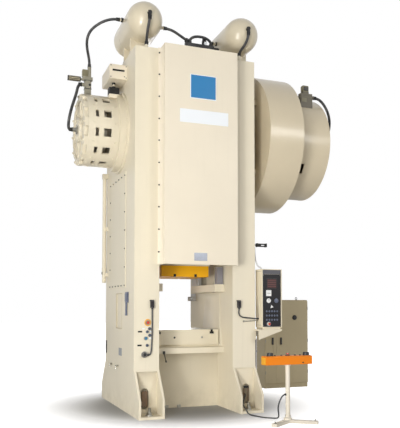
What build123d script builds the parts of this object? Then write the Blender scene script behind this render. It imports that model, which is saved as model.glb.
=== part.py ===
from build123d import *
import os
from math import cos, pi, radians, sin, tan

os.makedirs("parts", exist_ok=True)

# Straight-side forging press. Millimetres, +Z up, +X to the right of the operator, who stands at -Y.
# The origin is on the floor, in the middle of the frame's base.

# Frame
frame_width = 2110
frame_depth = 2110
frame_height = 5954
upright_width = 415
bed_depth = 730
bed_height = 1040
bed_ledge_depth = 1300
bed_ledge_thickness = 95
bolster_pad_height = 40
bolster_pad_depth = 900
crown_plate = 100
crown_wall = 60
crown_wall_inset = 295
crown_wall_height = 2004
side_window_width = 265
side_window_height = 450
side_window_depth = 170
side_window_bottom = 2125
hatch_width = 415
hatch_height = 600
hatch_middle_y = -32
hatch_bottom = 1360
hatch_depth = 14

# Feet, one at each corner
foot_reach = 325
foot_height = 740
foot_toe_height = 290
foot_plate = 36
foot_sole = 40
anchor_hole_radius = 28
anchor_from_upright = 175
jack_slot_width = 130
jack_slot_height = 330
jack_slot_depth = 90
jack_slot_bottom = 112
jack_slot_offset = 30

# Crankshaft line
crank_below_top = 1190
stroke = 300
shaft_radius = 180
running_clearance = 0.05
shaft_left_end = -1700
shaft_right_end = 2480
bush_wall = 70
bush_flange_radius = 310
bush_flange = 30
collar_radius = 225
collar_width = 40
eccentric_radius = 262
eccentric_width = 320
eccentric_bush_radius = 365
rod_wall = 85
rod_width = 310
rod_shank_width = 260
rod_length = 1494
wrist_pin_radius = 90
wrist_eye_radius = 150

# Slide and what guides it
slide_width = 936
slide_depth = 960
slide_below_pin = 980
slide_height = 1210
slide_pocket_width = 340
slide_pocket_depth = 520
slide_pocket_gap = 70
slide_plate_width = 860
slide_plate_thickness = 190
slide_plate_slot = 46
guide_clearance = 0.3
gib_above_slide_bottom = 180
gib_height = 1280
gib_depth = 330
gib_middle_y = 315
rail_height = 130
rail_share_of_daylight = 5 / 7
rail_front = 690
rail_rear = 560
balance_cylinder_x = 374
balance_cylinder_radius = 92
balance_bore_radius = 74
balance_below_crank = 804
balance_cylinder_height = 460
balance_end_wall = 30
balance_rod_radius = 26
balance_arm_height = 60
balance_arm_depth = 260
piston_height = 60

# Bolster and ejector
bolster_width = 1220
bolster_depth = 1000
bolster_height = 260
slot_neck_width = 44
slot_foot_width = 78
slot_neck_height = 34
slot_foot_height = 42
slot_from_middle = 482
ejector_radius = 40
ejector_travel = 60
ejector_head_radius = 70
ejector_head_height = 60

# Covers
cover_wall = 8
front_cover_width = 1268
front_cover_reach = 244
front_cover_below_slide = 30
front_cover_rise = 11
cover_flange = 40
rear_cover_reach = 120
rear_cover_bottom = 2700
side_cover_width = 1180
side_cover_gap = 54
side_cover_middle_y = 110
side_cover_bottom = 2050
side_cover_thickness = 10

# Brake, on the left end of the crankshaft
brake_flange_radius = 700
brake_flange_thickness = 34
brake_boss_radius = 664
brake_boss_width = 110
brake_drum_radius = 606
brake_drum_wall = 44
brake_drum_width = 520
brake_window_count = 12
brake_window_width = 128
brake_window_height = 132
brake_window_from_boss = 130
brake_slot_width = 56
brake_slot_from_boss = 340
end_ring_radius = 560
end_ring_width = 62
end_ring_lug_reach = 46
end_ring_lug_width = 150
end_ring_recess = 26
end_boss_radius = 215
end_boss_height = 46
brake_disc_radius = 500
brake_disc_thickness = 60
brake_disc_hub_radius = 270
brake_disc_hub_width = 300
brake_disc_from_end = 130
union_radius = 38
union_length = 84
union_flange_radius = 74
union_flange = 20

# Brake valve, standing on the brake housing
valve_x = -1630
valve_width = 110
valve_depth = 96
valve_base_height = 120
valve_body_height = 150
valve_head_width = 166
valve_head_height = 62
solenoid_width = 88
solenoid_height = 122
inlet_x = -1602
inlet_height = 178
valve_port_radius = 32
valve_port_length = 46
valve_port_height = 76
muffler_radius = 42
muffler_length = 216
muffler_neck = 44

# Cam switch box, on the left of the crown
cam_box_width = 306
cam_box_depth = 605
cam_box_height = 245
cam_box_front = -525
cam_box_above_shaft = 791
cam_drive_width = 172
cam_drive_height = 118
cam_drive_depth = 120
cam_drive_y = -300
cam_drive_above_shaft = 574
cam_stem_radius = 16

# Pipe on the left rear corner
pipe_radius = 36
pipe_y = 960
pipe_bottom = 2180
pipe_top = 4140
pipe_stand_off = 26
pipe_clip_height = 60

# Flywheel, clutch and their guards, on the right end of the crankshaft
hub_outer_radius = 300
hub_bore_gap = 6
hub_flange_radius = 520
hub_flange_thickness = 60
hub_length = 700
flywheel_radius = 1120
flywheel_left = 1370
flywheel_width = 400
flywheel_rim = 150
flywheel_web = 90
flywheel_hub_radius = 430
groove_count = 4
groove_pitch = 62
groove_depth = 14
guard_left = 1275
guard_width = 653
guard_radius = 1241
guard_wall = 10
guard_tail_radius = 300
guard_hub_gap = 40
clutch_guard_width = 700
clutch_guard_radius = 950
clutch_guard_lip = 26
clutch_slot_width = 78
clutch_slot_height = 190
clutch_slot_angle = -34
clutch_slot_x = 2110
clutch_drum_radius = 620
clutch_drum_left = 1960
clutch_drum_width = 330
clutch_cap_radius = 190
clutch_cap_width = 46
clutch_union_radius = 38
clutch_union_length = 130
clutch_valve_left = 2160
clutch_valve_width = 240
clutch_valve_y = -660
clutch_valve_depth = 100
clutch_valve_above_shaft = 896
clutch_coil_left = 2212
clutch_coil_width = 112
clutch_coil_height = 151
clutch_port_below_top = 50
clutch_port_length = 44

# Main motor and belt drive, behind the right upright
motor_y = 1490
motor_radius = 235
motor_left = 380
motor_length = 720
motor_fin_count = 24
motor_fin_height = 18
motor_shaft_radius = 42
motor_foot_width = 420
motor_foot_height = 44
motor_box_size = 170
pulley_radius = 165
belt_width = 34
belt_thickness = 20
belt_clearance = 0.3
motor_bracket_height = 60

# Air tanks, on the crown
tank_radius = 298
tank_x = 867
tank_rise = 491
tank_front_centre = -900
tank_rear_centre = 0
tank_foot_places = [-700, -250]
tank_foot_thickness = 20
tank_foot_width = 300
tank_port_radius = 28
tank_port_length = 62
tank_elbow_reach = 36
tank_elbow_drop = 52
tank_port_drop = 25
side_port_y = -550
side_port_rise = 115
middle_port_y = -800
right_port_y = -500

# Air regulator on the crown
manifold_y = -800
manifold_left = -120
manifold_length = 520
manifold_size = 64
manifold_rise = 212
manifold_pipe_radius = 18
regulator_radius = 42
regulator_x = 246
regulator_offset = 52
regulator_body = 90
regulator_knob = 60
crown_fitting_radius = 30

# Console on its bracket
console_left = 1120
console_width = 370
console_front = -1200
console_depth = 260
console_bottom = 1380
console_height = 990
console_panel_inset = 14
console_rim = 12
console_foot_height = 28
shelf_thickness = 26
shelf_depth = 400
gusset_drop = 150
gusset_thickness = 16

# Electrical cabinet
cabinet_left = 2440
cabinet_width = 1030
cabinet_front = 1418
cabinet_depth = 400
cabinet_height = 1880
cabinet_wall = 24
cabinet_plinth = 110
cabinet_top_margin = 22
door_thickness = 26
door_gap = 3
left_door_width = 270
handle_width = 34
handle_height = 150
handle_reach = 26
handle_middle = 1000
handle_inset = 82
switch_x = 3142
switch_height = 1500
switch_radius = 52
switch_neck_radius = 20
switch_reach = 30

# Two-hand control stand
stand_x = 990
stand_y = -2330
stand_leg_length = 450
stand_leg_angles = [-144, -38, 62]
stand_leg_width = 90
stand_leg_height = 46
stand_column_radius = 34
stand_column_top = 868
stand_box_left = 590
stand_box_width = 778
stand_box_depth = 160
stand_box_height = 130
palm_inset = 105
right_palm_inset = 63
palm_radius = 30
palm_travel = 6
shroud_radius = 46
shroud_height = 46
shroud_wall = 5
stop_head_radius = 24
stop_collar_radius = 36
stop_collar_height = 14
stop_travel = 5
stem_radius = 9
button_head_height = 14
button_rest_gap = 8
stem_clearance = 0.3

# Fittings on the front of the columns
column_stop = (-831, 1481)
column_button_place = (-864, 1231)
button_head_radius = 20
button_collar_radius = 29
selector_places = [(-839, 1335), (-839, 1118), (-797, 1278), (-800, 1383)]
selector_radius = 15
selector_reach = 34
socket_place = (-889, 974)
socket_radius = 42
socket_reach = 56
sensor_places = [(-764, 1776), (748, 1775)]
sensor_width = 56
sensor_height = 122
sensor_reach = 44

# Hoses and cables: diameters, then the points that each one follows. Heights are above the crown's top
# for the tank hoses, above the shaft's axis for the brake and clutch hoses, and above the floor for cables
hose_diameter = 50
tank_hose_diameter = 46
cable_diameter = 22
gland_radius = 17
left_dome_points = [
    (-867, -1234, 439),
    (-867, -1234, 402),
    (-878, -1230, 338),
    (-886, -1199, 258),
    (-879, -1128, 191),
    (-868, -1058, 144),
    (-860, -1014, 102),
    (-860, -1008, 70),
    (-860, -1008, 46),
]
right_dome_points = [
    (867, -1234, 439),
    (867, -1234, 404),
    (857, -1230, 344),
    (843, -1200, 274),
    (824, -1132, 218),
    (804, -1062, 178),
    (796, -1016, 146),
    (795, -1003, 116),
    (795, -1003, 90),
]
brake_feed_points = [
    (-1202, -550, 606),
    (-1266, -550, 606),
    (-1370, -520, 594),
    (-1475, -475, 558),
    (-1562, -418, 510),
    (-1638, -355, 450),
    (-1682, -291, 374),
    (-1692, -222, 286),
    (-1672, -152, 196),
    (-1638, -84, 112),
    (-1610, -28, 38),
    (-1602, 0, -26),
    (-1602, 0, -74),
]
brake_points = [
    (-1731, 0, 802),
    (-1766, 0, 802),
    (-1804, -28, 742),
    (-1828, -72, 638),
    (-1868, -112, 506),
    (-1915, -136, 361),
    (-1948, -138, 221),
    (-1964, -114, 116),
    (-1962, -64, 36),
    (-1946, -18, 2),
    (-1914, 0, 0),
    (-1885, 0, 0),
]
left_tank_points = [
    (-507, -800, 466),
    (-440, -800, 466),
    (-332, -801, 444),
    (-225, -798, 390),
    (-152, -799, 350),
    (-98, -800, 322),
    (-98, -800, 290),
]
crown_points = [
    (-36, -800, 290),
    (-36, -800, 318),
    (-18, -816, 362),
    (42, -834, 390),
    (132, -843, 398),
    (222, -842, 392),
    (298, -830, 368),
    (346, -808, 332),
    (352, -800, 312),
    (352, -800, 290),
]
clutch_points = [
    (2444, -660, 846),
    (2526, -660, 846),
    (2620, -662, 802),
    (2722, -656, 686),
    (2802, -628, 551),
    (2867, -548, 421),
    (2915, -420, 288),
    (2941, -270, 164),
    (2935, -130, 69),
    (2904, -36, 14),
    (2856, 0, 0),
    (2804, 0, 0),
]
stand_cable_route = [
    (956, -2330, 420),
    (928, -2330, 420),
    (888, -2328, 385),
    (860, -2316, 322),
    (848, -2296, 252),
    (862, -2262, 184),
    (895, -2215, 124),
    (930, -2150, 70),
    (955, -2075, 30),
    (950, -1995, 13),
    (905, -1945, 12),
    (840, -1902, 13),
    (800, -1825, 12),
    (768, -1735, 13),
    (738, -1645, 12),
    (719, -1560, 15),
    (716, -1485, 30),
    (722, -1420, 62),
    (728, -1350, 90),
    (738, -1272, 114),
    (762, -1195, 152),
    (804, -1132, 198),
    (850, -1086, 236),
    (874, -1044, 257),
    (877, -1012, 262),
    (877, -986, 262),
]
left_sensor_route = [
    (-764, -1077, 1715),
    (-764, -1077, 1655),
    (-760, -1073, 1366),
    (-768, -1074, 1130),
    (-775, -1079, 1052),
    (-784, -1083, 1004),
    (-796, -1083, 976),
    (-812, -1083, 970),
    (-830, -1083, 970),
]
right_sensor_route = [
    (748, -1077, 1714),
    (748, -1077, 1680),
    (742, -1074, 1636),
    (757, -1072, 1586),
    (806, -1072, 1556),
    (880, -1073, 1549),
    (965, -1074, 1541),
    (1052, -1078, 1532),
    (1104, -1078, 1532),
]

# Worked out from the sizes above
half_width = frame_width / 2
half_depth = frame_depth / 2
inner_face = half_width - upright_width
upright_middle = half_width - upright_width / 2
bed_top = bed_height + bolster_pad_height
bolster_top = bed_top + bolster_height
throw = stroke / 4
bush_radius = shaft_radius + bush_wall
crank_height = frame_height - crank_below_top
wrist_pin_height = crank_height + stroke / 2 - rod_length
slide_bottom = wrist_pin_height - slide_below_pin
gib_bottom = slide_bottom + gib_above_slide_bottom
daylight = slide_bottom - slide_plate_thickness - bolster_top
rail_bottom = bolster_top + rail_share_of_daylight * daylight
balance_cylinder_bottom = crank_height - balance_below_crank
crown_wall_bottom = frame_height - crown_wall_height
front_cover_bottom = slide_bottom - front_cover_below_slide
front_cover_top = frame_height + front_cover_rise
side_cover_height = crank_height - brake_flange_radius - side_cover_gap - side_cover_bottom
cam_box_bottom = crank_height + cam_box_above_shaft
cam_drive_bottom = crank_height + cam_drive_above_shaft
clutch_valve_top = crank_height + clutch_valve_above_shaft
clutch_coil_top = clutch_valve_top + clutch_coil_height
clutch_port_height = clutch_valve_top - clutch_port_below_top
tank_height = frame_height + tank_rise
manifold_height = frame_height + manifold_rise
crank_axis = Axis((0, 0, crank_height), (1, 0, 0))
crank_side = Plane(origin=(0, 0, crank_height), x_dir=(1, 0, 0), z_dir=(0, -1, 0))


def raised(points, level):
    """A hose's points, with their heights counted from a level such as the crown's top."""
    return [(x, y, z + level) for x, y, z in points]


left_dome_route = raised(left_dome_points, frame_height)
right_dome_route = raised(right_dome_points, frame_height)
brake_feed_route = raised(brake_feed_points, frame_height)
left_tank_route = raised(left_tank_points, frame_height)
crown_route = raised(crown_points, frame_height)
brake_route = raised(brake_points, crank_height)
clutch_route = raised(clutch_points, crank_height)


def block(x, y, z, mode=Mode.ADD):
    """A straight-sided block, given by its lowest and highest value along each axis."""
    middle = ((x[0] + x[1]) / 2, (y[0] + y[1]) / 2, (z[0] + z[1]) / 2)
    with Locations(middle):
        Box(x[1] - x[0], y[1] - y[0], z[1] - z[0], mode=mode)


def rod_along_x(x, y, z, radius, mode=Mode.ADD):
    """A round bar along X, from x[0] to x[1]."""
    with Locations(Location(((x[0] + x[1]) / 2, y, z), (0, 90, 0))):
        Cylinder(radius, x[1] - x[0], mode=mode)


def rod_along_y(x, y, z, radius, mode=Mode.ADD):
    """A round bar along Y, from y[0] to y[1]."""
    with Locations(Location((x, (y[0] + y[1]) / 2, z), (90, 0, 0))):
        Cylinder(radius, y[1] - y[0], mode=mode)


def rod_along_z(x, y, z, radius, mode=Mode.ADD):
    """A round bar along Z, from z[0] to z[1]."""
    with Locations((x, y, (z[0] + z[1]) / 2)):
        Cylinder(radius, z[1] - z[0], mode=mode)


def write(piece, name):
    """Names the finished piece and writes its file."""
    piece.part.label = name
    export_step(piece.part, f"parts/{name}.step")


# Press frame: one weldment of two uprights, bed, crown and four feet
with BuildPart() as press_frame:
    with BuildSketch(Plane.XZ.offset(-half_depth)):
        with Locations((-upright_middle, frame_height / 2), (upright_middle, frame_height / 2)):
            Rectangle(upright_width, frame_height)
    extrude(amount=frame_depth)
    bed_span = (-inner_face, inner_face)
    block(bed_span, (-bed_depth / 2, bed_depth / 2), (0, bed_height))
    ledge_y = (-bed_ledge_depth / 2, bed_ledge_depth / 2)
    block(bed_span, ledge_y, (bed_height - bed_ledge_thickness, bed_height))
    pad_y = (-bolster_pad_depth / 2, bolster_pad_depth / 2)
    block(bed_span, pad_y, (bed_height, bed_top))
    block(bed_span, (-half_depth, half_depth), (frame_height - crown_plate, frame_height))
    wall_outside = half_depth - crown_wall_inset
    for side in (-1, 1):
        wall_y = sorted((side * wall_outside, side * (wall_outside - crown_wall)))
        block(bed_span, wall_y, (crown_wall_bottom, frame_height))
    # Feet: side plates with a sloping front edge round an open pocket
    for side in (-1, 1):
        foot_left = side * upright_middle - upright_width / 2
        with BuildSketch(Plane.YZ.offset(foot_left)):
            with BuildLine():
                Polyline(
                    (-half_depth, 0),
                    (-half_depth - foot_reach, 0),
                    (-half_depth - foot_reach, foot_toe_height),
                    (-half_depth, foot_height),
                    close=True,
                )
            make_face()
            with BuildLine():
                Polyline(
                    (half_depth, 0),
                    (half_depth + foot_reach, 0),
                    (half_depth + foot_reach, foot_toe_height),
                    (half_depth, foot_height),
                    close=True,
                )
            make_face()
        extrude(amount=upright_width)
        pocket_x = (foot_left + foot_plate, foot_left + upright_width - foot_plate)
        pocket_z = (foot_sole, foot_height - foot_plate)
        reach = half_depth + foot_reach + 1
        block(pocket_x, (-reach, -half_depth), pocket_z, Mode.SUBTRACT)
        block(pocket_x, (half_depth, reach), pocket_z, Mode.SUBTRACT)
    anchor_y = half_depth + anchor_from_upright
    with BuildSketch():
        with GridLocations(2 * upright_middle, 2 * anchor_y, 2, 2):
            Circle(anchor_hole_radius)
    extrude(amount=foot_sole, mode=Mode.SUBTRACT)
    # Slots for the levelling jacks, in the front and rear faces inside the feet
    jack_slot_x = upright_middle + jack_slot_offset
    jack_slot_middle = jack_slot_bottom + jack_slot_height / 2
    for plane in (Plane.XZ.offset(half_depth), Plane.XZ.offset(-half_depth)):
        with BuildSketch(plane):
            with Locations((-jack_slot_x, jack_slot_middle), (jack_slot_x, jack_slot_middle)):
                SlotOverall(jack_slot_height, jack_slot_width, rotation=90)
        inward = -1 if plane.origin.Y < 0 else 1
        extrude(amount=inward * jack_slot_depth, mode=Mode.SUBTRACT)
    # Windows in the inner faces of the uprights, above the side rails
    window_middle_z = side_window_bottom + side_window_height / 2
    for side in (-1, 1):
        with BuildSketch(Plane.YZ.offset(side * inner_face)):
            with Locations((-gib_middle_y, window_middle_z), (gib_middle_y, window_middle_z)):
                Rectangle(side_window_width, side_window_height)
        extrude(amount=side * side_window_depth, mode=Mode.SUBTRACT)
    # Shallow recess with a hatch on the outside of the left upright
    hatch_y = (hatch_middle_y - hatch_width / 2, hatch_middle_y + hatch_width / 2)
    hatch_z = (hatch_bottom, hatch_bottom + hatch_height)
    block((-half_width, -half_width + hatch_depth), hatch_y, hatch_z, Mode.SUBTRACT)
    # Bores for the shaft bushes, and the passage for the ejector
    rod_along_x((-half_width, half_width), 0, crank_height, bush_radius, Mode.SUBTRACT)
    rod_along_z(0, 0, (0, bed_top), ejector_radius + 2, Mode.SUBTRACT)
    # Fittings on the crown for the hoses from the tank domes, and the gland in the right foot's slot
    for route in (left_dome_route, right_dome_route):
        end = route[-1]
        rod_along_z(end[0], end[1], (frame_height, end[2]), crown_fitting_radius)
    cable_end = stand_cable_route[-1]
    gland_y = (cable_end[1], -half_depth + jack_slot_depth)
    rod_along_y(cable_end[0], gland_y, cable_end[2], gland_radius)
    # Seat for the motor on the rear of the right upright
    motor_seat_top = crank_height - motor_radius - motor_foot_height
    seat_y = (half_depth, motor_y + motor_foot_width / 2)
    seat_x = (front_cover_width / 2 + cover_flange + 10, half_width)
    block(seat_x, seat_y, (motor_seat_top - motor_bracket_height, motor_seat_top))
    with BuildSketch(Plane.YZ.offset(half_width - gusset_thickness)):
        with BuildLine():
            Polyline(
                (half_depth, motor_seat_top - motor_bracket_height),
                (motor_y + motor_foot_width / 2, motor_seat_top - motor_bracket_height),
                (half_depth, motor_seat_top - motor_foot_width - motor_bracket_height),
                close=True,
            )
        make_face()
    extrude(amount=gusset_thickness)
write(press_frame, "press_frame")

# Bars along the inner faces of the uprights, in the die space
with BuildPart() as side_rails:
    for side in (-1, 1):
        rail_x = sorted((side * inner_face, side * (slide_width / 2 + 2)))
        block(rail_x, (-rail_front, rail_rear), (rail_bottom, rail_bottom + rail_height))
write(side_rails, "side_rails")

# Bolster: thick plate with T-slots from front to rear and a hole for the ejector
with BuildPart() as bolster:
    with BuildSketch(Plane.XZ.offset(-bolster_depth / 2)):
        with Locations((0, bed_top + bolster_height / 2)):
            Rectangle(bolster_width, bolster_height)
        neck_z = bolster_top - slot_neck_height / 2
        foot_z = bolster_top - slot_neck_height - slot_foot_height / 2
        with Locations((-slot_from_middle, neck_z), (slot_from_middle, neck_z)):
            Rectangle(slot_neck_width, slot_neck_height, mode=Mode.SUBTRACT)
        with Locations((-slot_from_middle, foot_z), (slot_from_middle, foot_z)):
            Rectangle(slot_foot_width, slot_foot_height, mode=Mode.SUBTRACT)
    extrude(amount=bolster_depth)
    rod_along_z(0, 0, (bed_top, bolster_top), ejector_radius + stem_clearance, Mode.SUBTRACT)
    lift_room = ejector_head_height + ejector_travel + 10
    rod_along_z(0, 0, (bed_top, bed_top + lift_room), ejector_head_radius + 10, Mode.SUBTRACT)
write(bolster, "bolster")

# Ejector pin: flush with the bolster at rest, its head in a counterbore from below
with BuildPart() as ejector_pin:
    rod_along_z(0, 0, (bed_top + 10, bolster_top - 1), ejector_radius)
    head_low = bed_top + guide_clearance
    rod_along_z(0, 0, (head_low, head_low + ejector_head_height), ejector_head_radius)
    # The lifting rod under the head stands on the cylinder in the pit below the bed
    rod_along_z(0, 0, (stand_leg_height, head_low), ejector_radius)
write(ejector_pin, "ejector_pin")

# Flanged bronze bushes that carry the crankshaft in the uprights
with BuildPart() as shaft_bushes:
    with BuildSketch(crank_side):
        with BuildLine():
            Polyline(
                (inner_face - bush_flange, shaft_radius + running_clearance),
                (half_width, shaft_radius + running_clearance),
                (half_width, bush_radius),
                (inner_face, bush_radius),
                (inner_face, bush_flange_radius),
                (inner_face - bush_flange, bush_flange_radius),
                close=True,
            )
        make_face()
    revolve(axis=crank_axis)
    mirror(about=Plane.YZ)
write(shaft_bushes, "shaft_bushes")

# Crankshaft: straight shaft with thrust collars and one eccentric in the middle
with BuildPart() as crankshaft:
    rod_along_x((shaft_left_end, shaft_right_end), 0, crank_height, shaft_radius)
    collar_end = inner_face - bush_flange - guide_clearance
    for side in (-1, 1):
        collar_x = sorted((side * collar_end, side * (collar_end - collar_width)))
        rod_along_x(collar_x, 0, crank_height, collar_radius)
    eccentric_x = (-eccentric_width / 2, eccentric_width / 2)
    rod_along_x(eccentric_x, 0, crank_height + throw, eccentric_radius)
    fillet(crankshaft.edges().filter_by(GeomType.CIRCLE).sort_by(Axis.X)[0], 20)
write(crankshaft, "crankshaft")

# Eccentric bush: its bore turns on the crankshaft's eccentric, its outside in the rod's big end
with BuildPart() as eccentric_bush:
    rod_along_x(eccentric_x, 0, crank_height + 2 * throw, eccentric_bush_radius)
    bore_radius = eccentric_radius + running_clearance
    rod_along_x(eccentric_x, 0, crank_height + throw, bore_radius, Mode.SUBTRACT)
write(eccentric_bush, "eccentric_bush")

# Connecting rod: big end, tapered shank, small end with its pin
with BuildPart() as connecting_rod:
    big_end_height = crank_height + 2 * throw
    big_end_radius = eccentric_bush_radius + rod_wall
    with BuildSketch(Plane.YZ.offset(-rod_width / 2)):
        with Locations((0, big_end_height)):
            Circle(big_end_radius)
        with Locations((0, wrist_pin_height)):
            Circle(wrist_eye_radius)
        with BuildLine():
            Polyline(
                (-rod_shank_width / 2, wrist_pin_height),
                (rod_shank_width / 2, wrist_pin_height),
                (rod_shank_width, big_end_height - big_end_radius / 2),
                (-rod_shank_width, big_end_height - big_end_radius / 2),
                close=True,
            )
        make_face()
    extrude(amount=rod_width)
    rod_x = (-rod_width / 2, rod_width / 2)
    big_bore = eccentric_bush_radius + running_clearance
    rod_along_x(rod_x, 0, big_end_height, big_bore, Mode.SUBTRACT)
    # The wrist pin is shrunk into the small end and turns in the walls of the slide
    pin_end = slide_width / 2 - 60
    rod_along_x((-pin_end, pin_end), 0, wrist_pin_height, wrist_pin_radius)
write(connecting_rod, "connecting_rod")

# Slide: cast body with a pocket for the rod, open at the top
with BuildPart() as slide:
    slide_top = slide_bottom + slide_height
    slide_x = (-slide_width / 2, slide_width / 2)
    slide_y = (-slide_depth / 2, slide_depth / 2)
    block(slide_x, slide_y, (slide_bottom, slide_top))
    pocket_bottom = wrist_pin_height - wrist_eye_radius - slide_pocket_gap
    rod_pocket_x = (-slide_pocket_width / 2, slide_pocket_width / 2)
    rod_pocket_y = (-slide_pocket_depth / 2, slide_pocket_depth / 2)
    block(rod_pocket_x, rod_pocket_y, (pocket_bottom, slide_top), Mode.SUBTRACT)
    pin_bore = wrist_pin_radius + running_clearance
    rod_along_x((-pin_end, pin_end), 0, wrist_pin_height, pin_bore, Mode.SUBTRACT)
    chamfer(slide.edges().filter_by(Axis.Z).group_by(SortBy.LENGTH)[-1], 20)
write(slide, "slide")

# Plate under the slide that the upper die is bolted to
with BuildPart() as slide_plate:
    with BuildSketch(Plane.XZ.offset(-slide_depth / 2)):
        plate_bottom = slide_bottom - slide_plate_thickness
        with Locations((0, slide_bottom - slide_plate_thickness / 2)):
            Rectangle(slide_plate_width, slide_plate_thickness)
        slot_middle_z = plate_bottom + slide_plate_slot / 2
        with Locations((-190, slot_middle_z), (190, slot_middle_z)):
            Rectangle(slide_plate_slot, slide_plate_slot, mode=Mode.SUBTRACT)
    extrude(amount=slide_depth)
write(slide_plate, "slide_plate")

# Gibs: four guide blocks on the inner faces of the uprights
with BuildPart() as slide_gibs:
    for side in (-1, 1):
        gib_x = sorted((side * inner_face, side * (slide_width / 2 + guide_clearance)))
        for end in (-1, 1):
            gib_y = (end * gib_middle_y - gib_depth / 2, end * gib_middle_y + gib_depth / 2)
            block(gib_x, gib_y, (gib_bottom, gib_bottom + gib_height))
write(slide_gibs, "slide_gibs")

# Counterbalance cylinders, each hung from an arm on its upright
with BuildPart() as balance_cylinders:
    cylinder_top = balance_cylinder_bottom + balance_cylinder_height
    for side in (-1, 1):
        centre_x = side * balance_cylinder_x
        rod_along_z(centre_x, 0, (balance_cylinder_bottom, cylinder_top), balance_cylinder_radius)
        arm_x = sorted((side * inner_face, centre_x))
        arm_y = (-balance_arm_depth / 2, balance_arm_depth / 2)
        block(arm_x, arm_y, (cylinder_top - balance_arm_height, cylinder_top))
    for side in (-1, 1):
        centre_x = side * balance_cylinder_x
        bore_z = (balance_cylinder_bottom + balance_end_wall, cylinder_top - balance_end_wall)
        rod_along_z(centre_x, 0, bore_z, balance_bore_radius, Mode.SUBTRACT)
        neck_z = (balance_cylinder_bottom, balance_cylinder_bottom + balance_end_wall)
        neck_radius = balance_rod_radius + running_clearance
        rod_along_z(centre_x, 0, neck_z, neck_radius, Mode.SUBTRACT)
write(balance_cylinders, "balance_cylinders")

# Counterbalance pistons with their rods, standing on the slide
with BuildPart() as balance_rods:
    piston_top = cylinder_top - balance_end_wall - 10
    for side in (-1, 1):
        centre_x = side * balance_cylinder_x
        rod_along_z(centre_x, 0, (slide_top, piston_top), balance_rod_radius)
        piston_z = (piston_top - piston_height, piston_top)
        rod_along_z(centre_x, 0, piston_z, balance_bore_radius - running_clearance)
write(balance_rods, "balance_rods")


def sheet_cover(near, reach, z, half):
    """A folded sheet box that closes the crown: open towards the frame, with a flange each side."""
    face = near + reach
    outer_y = sorted((near, face))
    inner_y = sorted((near, face - cover_wall * (1 if reach > 0 else -1)))
    flange_y = sorted((near, near + cover_wall * (1 if reach > 0 else -1)))
    block((-half, half), outer_y, z)
    block((-half - cover_flange, half + cover_flange), flange_y, z)
    inner_z = (z[0] - 1, z[1] - cover_wall)
    block((-half + cover_wall, half - cover_wall), inner_y, inner_z, Mode.SUBTRACT)


# Front cover: folded sheet box in front of the slide and the crown
with BuildPart() as front_cover:
    cover_z = (front_cover_bottom, front_cover_top)
    sheet_cover(-half_depth, -front_cover_reach, cover_z, front_cover_width / 2)
write(front_cover, "front_cover")

# Rear cover: the same, less deep
with BuildPart() as rear_cover:
    cover_z = (rear_cover_bottom, frame_height)
    sheet_cover(half_depth, rear_cover_reach, cover_z, front_cover_width / 2)
write(rear_cover, "rear_cover")

# Side cover: flat plate over the opening in the left upright
with BuildPart() as left_side_cover:
    side_cover_y = (side_cover_middle_y - side_cover_width / 2, side_cover_middle_y + side_cover_width / 2)
    side_cover_z = (side_cover_bottom, side_cover_bottom + side_cover_height)
    block((-half_width - side_cover_thickness, -half_width), side_cover_y, side_cover_z)
write(left_side_cover, "left_side_cover")

# Brake housing: flange, boss and drum in one casting, with two rows of windows in the drum
boss_end = -half_width - brake_flange_thickness - brake_boss_width
drum_end = boss_end - brake_drum_width
with BuildPart() as brake_housing:
    with BuildSketch(crank_side):
        with BuildLine():
            Polyline(
                (-half_width, bush_radius),
                (-half_width, brake_flange_radius),
                (-half_width - brake_flange_thickness, brake_flange_radius),
                (-half_width - brake_flange_thickness, brake_boss_radius),
                (boss_end, brake_boss_radius),
                (boss_end, brake_drum_radius),
                (drum_end, brake_drum_radius),
                (drum_end, brake_drum_radius - brake_drum_wall),
                (boss_end, brake_drum_radius - brake_drum_wall),
                (boss_end, bush_radius),
                close=True,
            )
        make_face()
    revolve(axis=crank_axis)
    windows = [(brake_window_from_boss, brake_window_width), (brake_slot_from_boss, brake_slot_width)]
    turn = 360 / brake_window_count
    for index in range(brake_window_count):
        angle = (index + 0.5) * turn
        spoke = Location((0, 0, crank_height), (angle, 0, 0))
        for start, width in windows:
            middle = Pos(boss_end - start - width / 2, 0, brake_drum_radius - brake_drum_wall / 2)
            with Locations(spoke * middle):
                Box(width, brake_window_height, 2 * brake_drum_wall, mode=Mode.SUBTRACT)
write(brake_housing, "brake_housing")

# End ring of the brake: lugs round the rim, a recessed face and a boss in the middle
with BuildPart() as brake_end_ring:
    ring_face = drum_end - end_ring_width
    with BuildSketch(crank_side):
        with BuildLine():
            Polyline(
                (drum_end, union_radius + 20),
                (drum_end, end_ring_radius),
                (ring_face, end_ring_radius),
                (ring_face, end_ring_radius - 70),
                (ring_face + end_ring_recess, end_ring_radius - 70),
                (ring_face + end_ring_recess, end_boss_radius),
                (ring_face + end_ring_recess - end_boss_height, end_boss_radius - 14),
                (ring_face + end_ring_recess - end_boss_height, union_radius + 20),
                close=True,
            )
        make_face()
    revolve(axis=crank_axis)
    for index in range(brake_window_count):
        spoke = Location((0, 0, crank_height), (index * turn, 0, 0))
        lug_x = (drum_end + ring_face) / 2
        lug_low = end_ring_radius - 20
        lug_high = end_ring_radius + end_ring_lug_reach
        with Locations(spoke * Pos(lug_x, 0, (lug_low + lug_high) / 2)):
            Box(end_ring_width, end_ring_lug_width, lug_high - lug_low)
write(brake_end_ring, "brake_end_ring")

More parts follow.
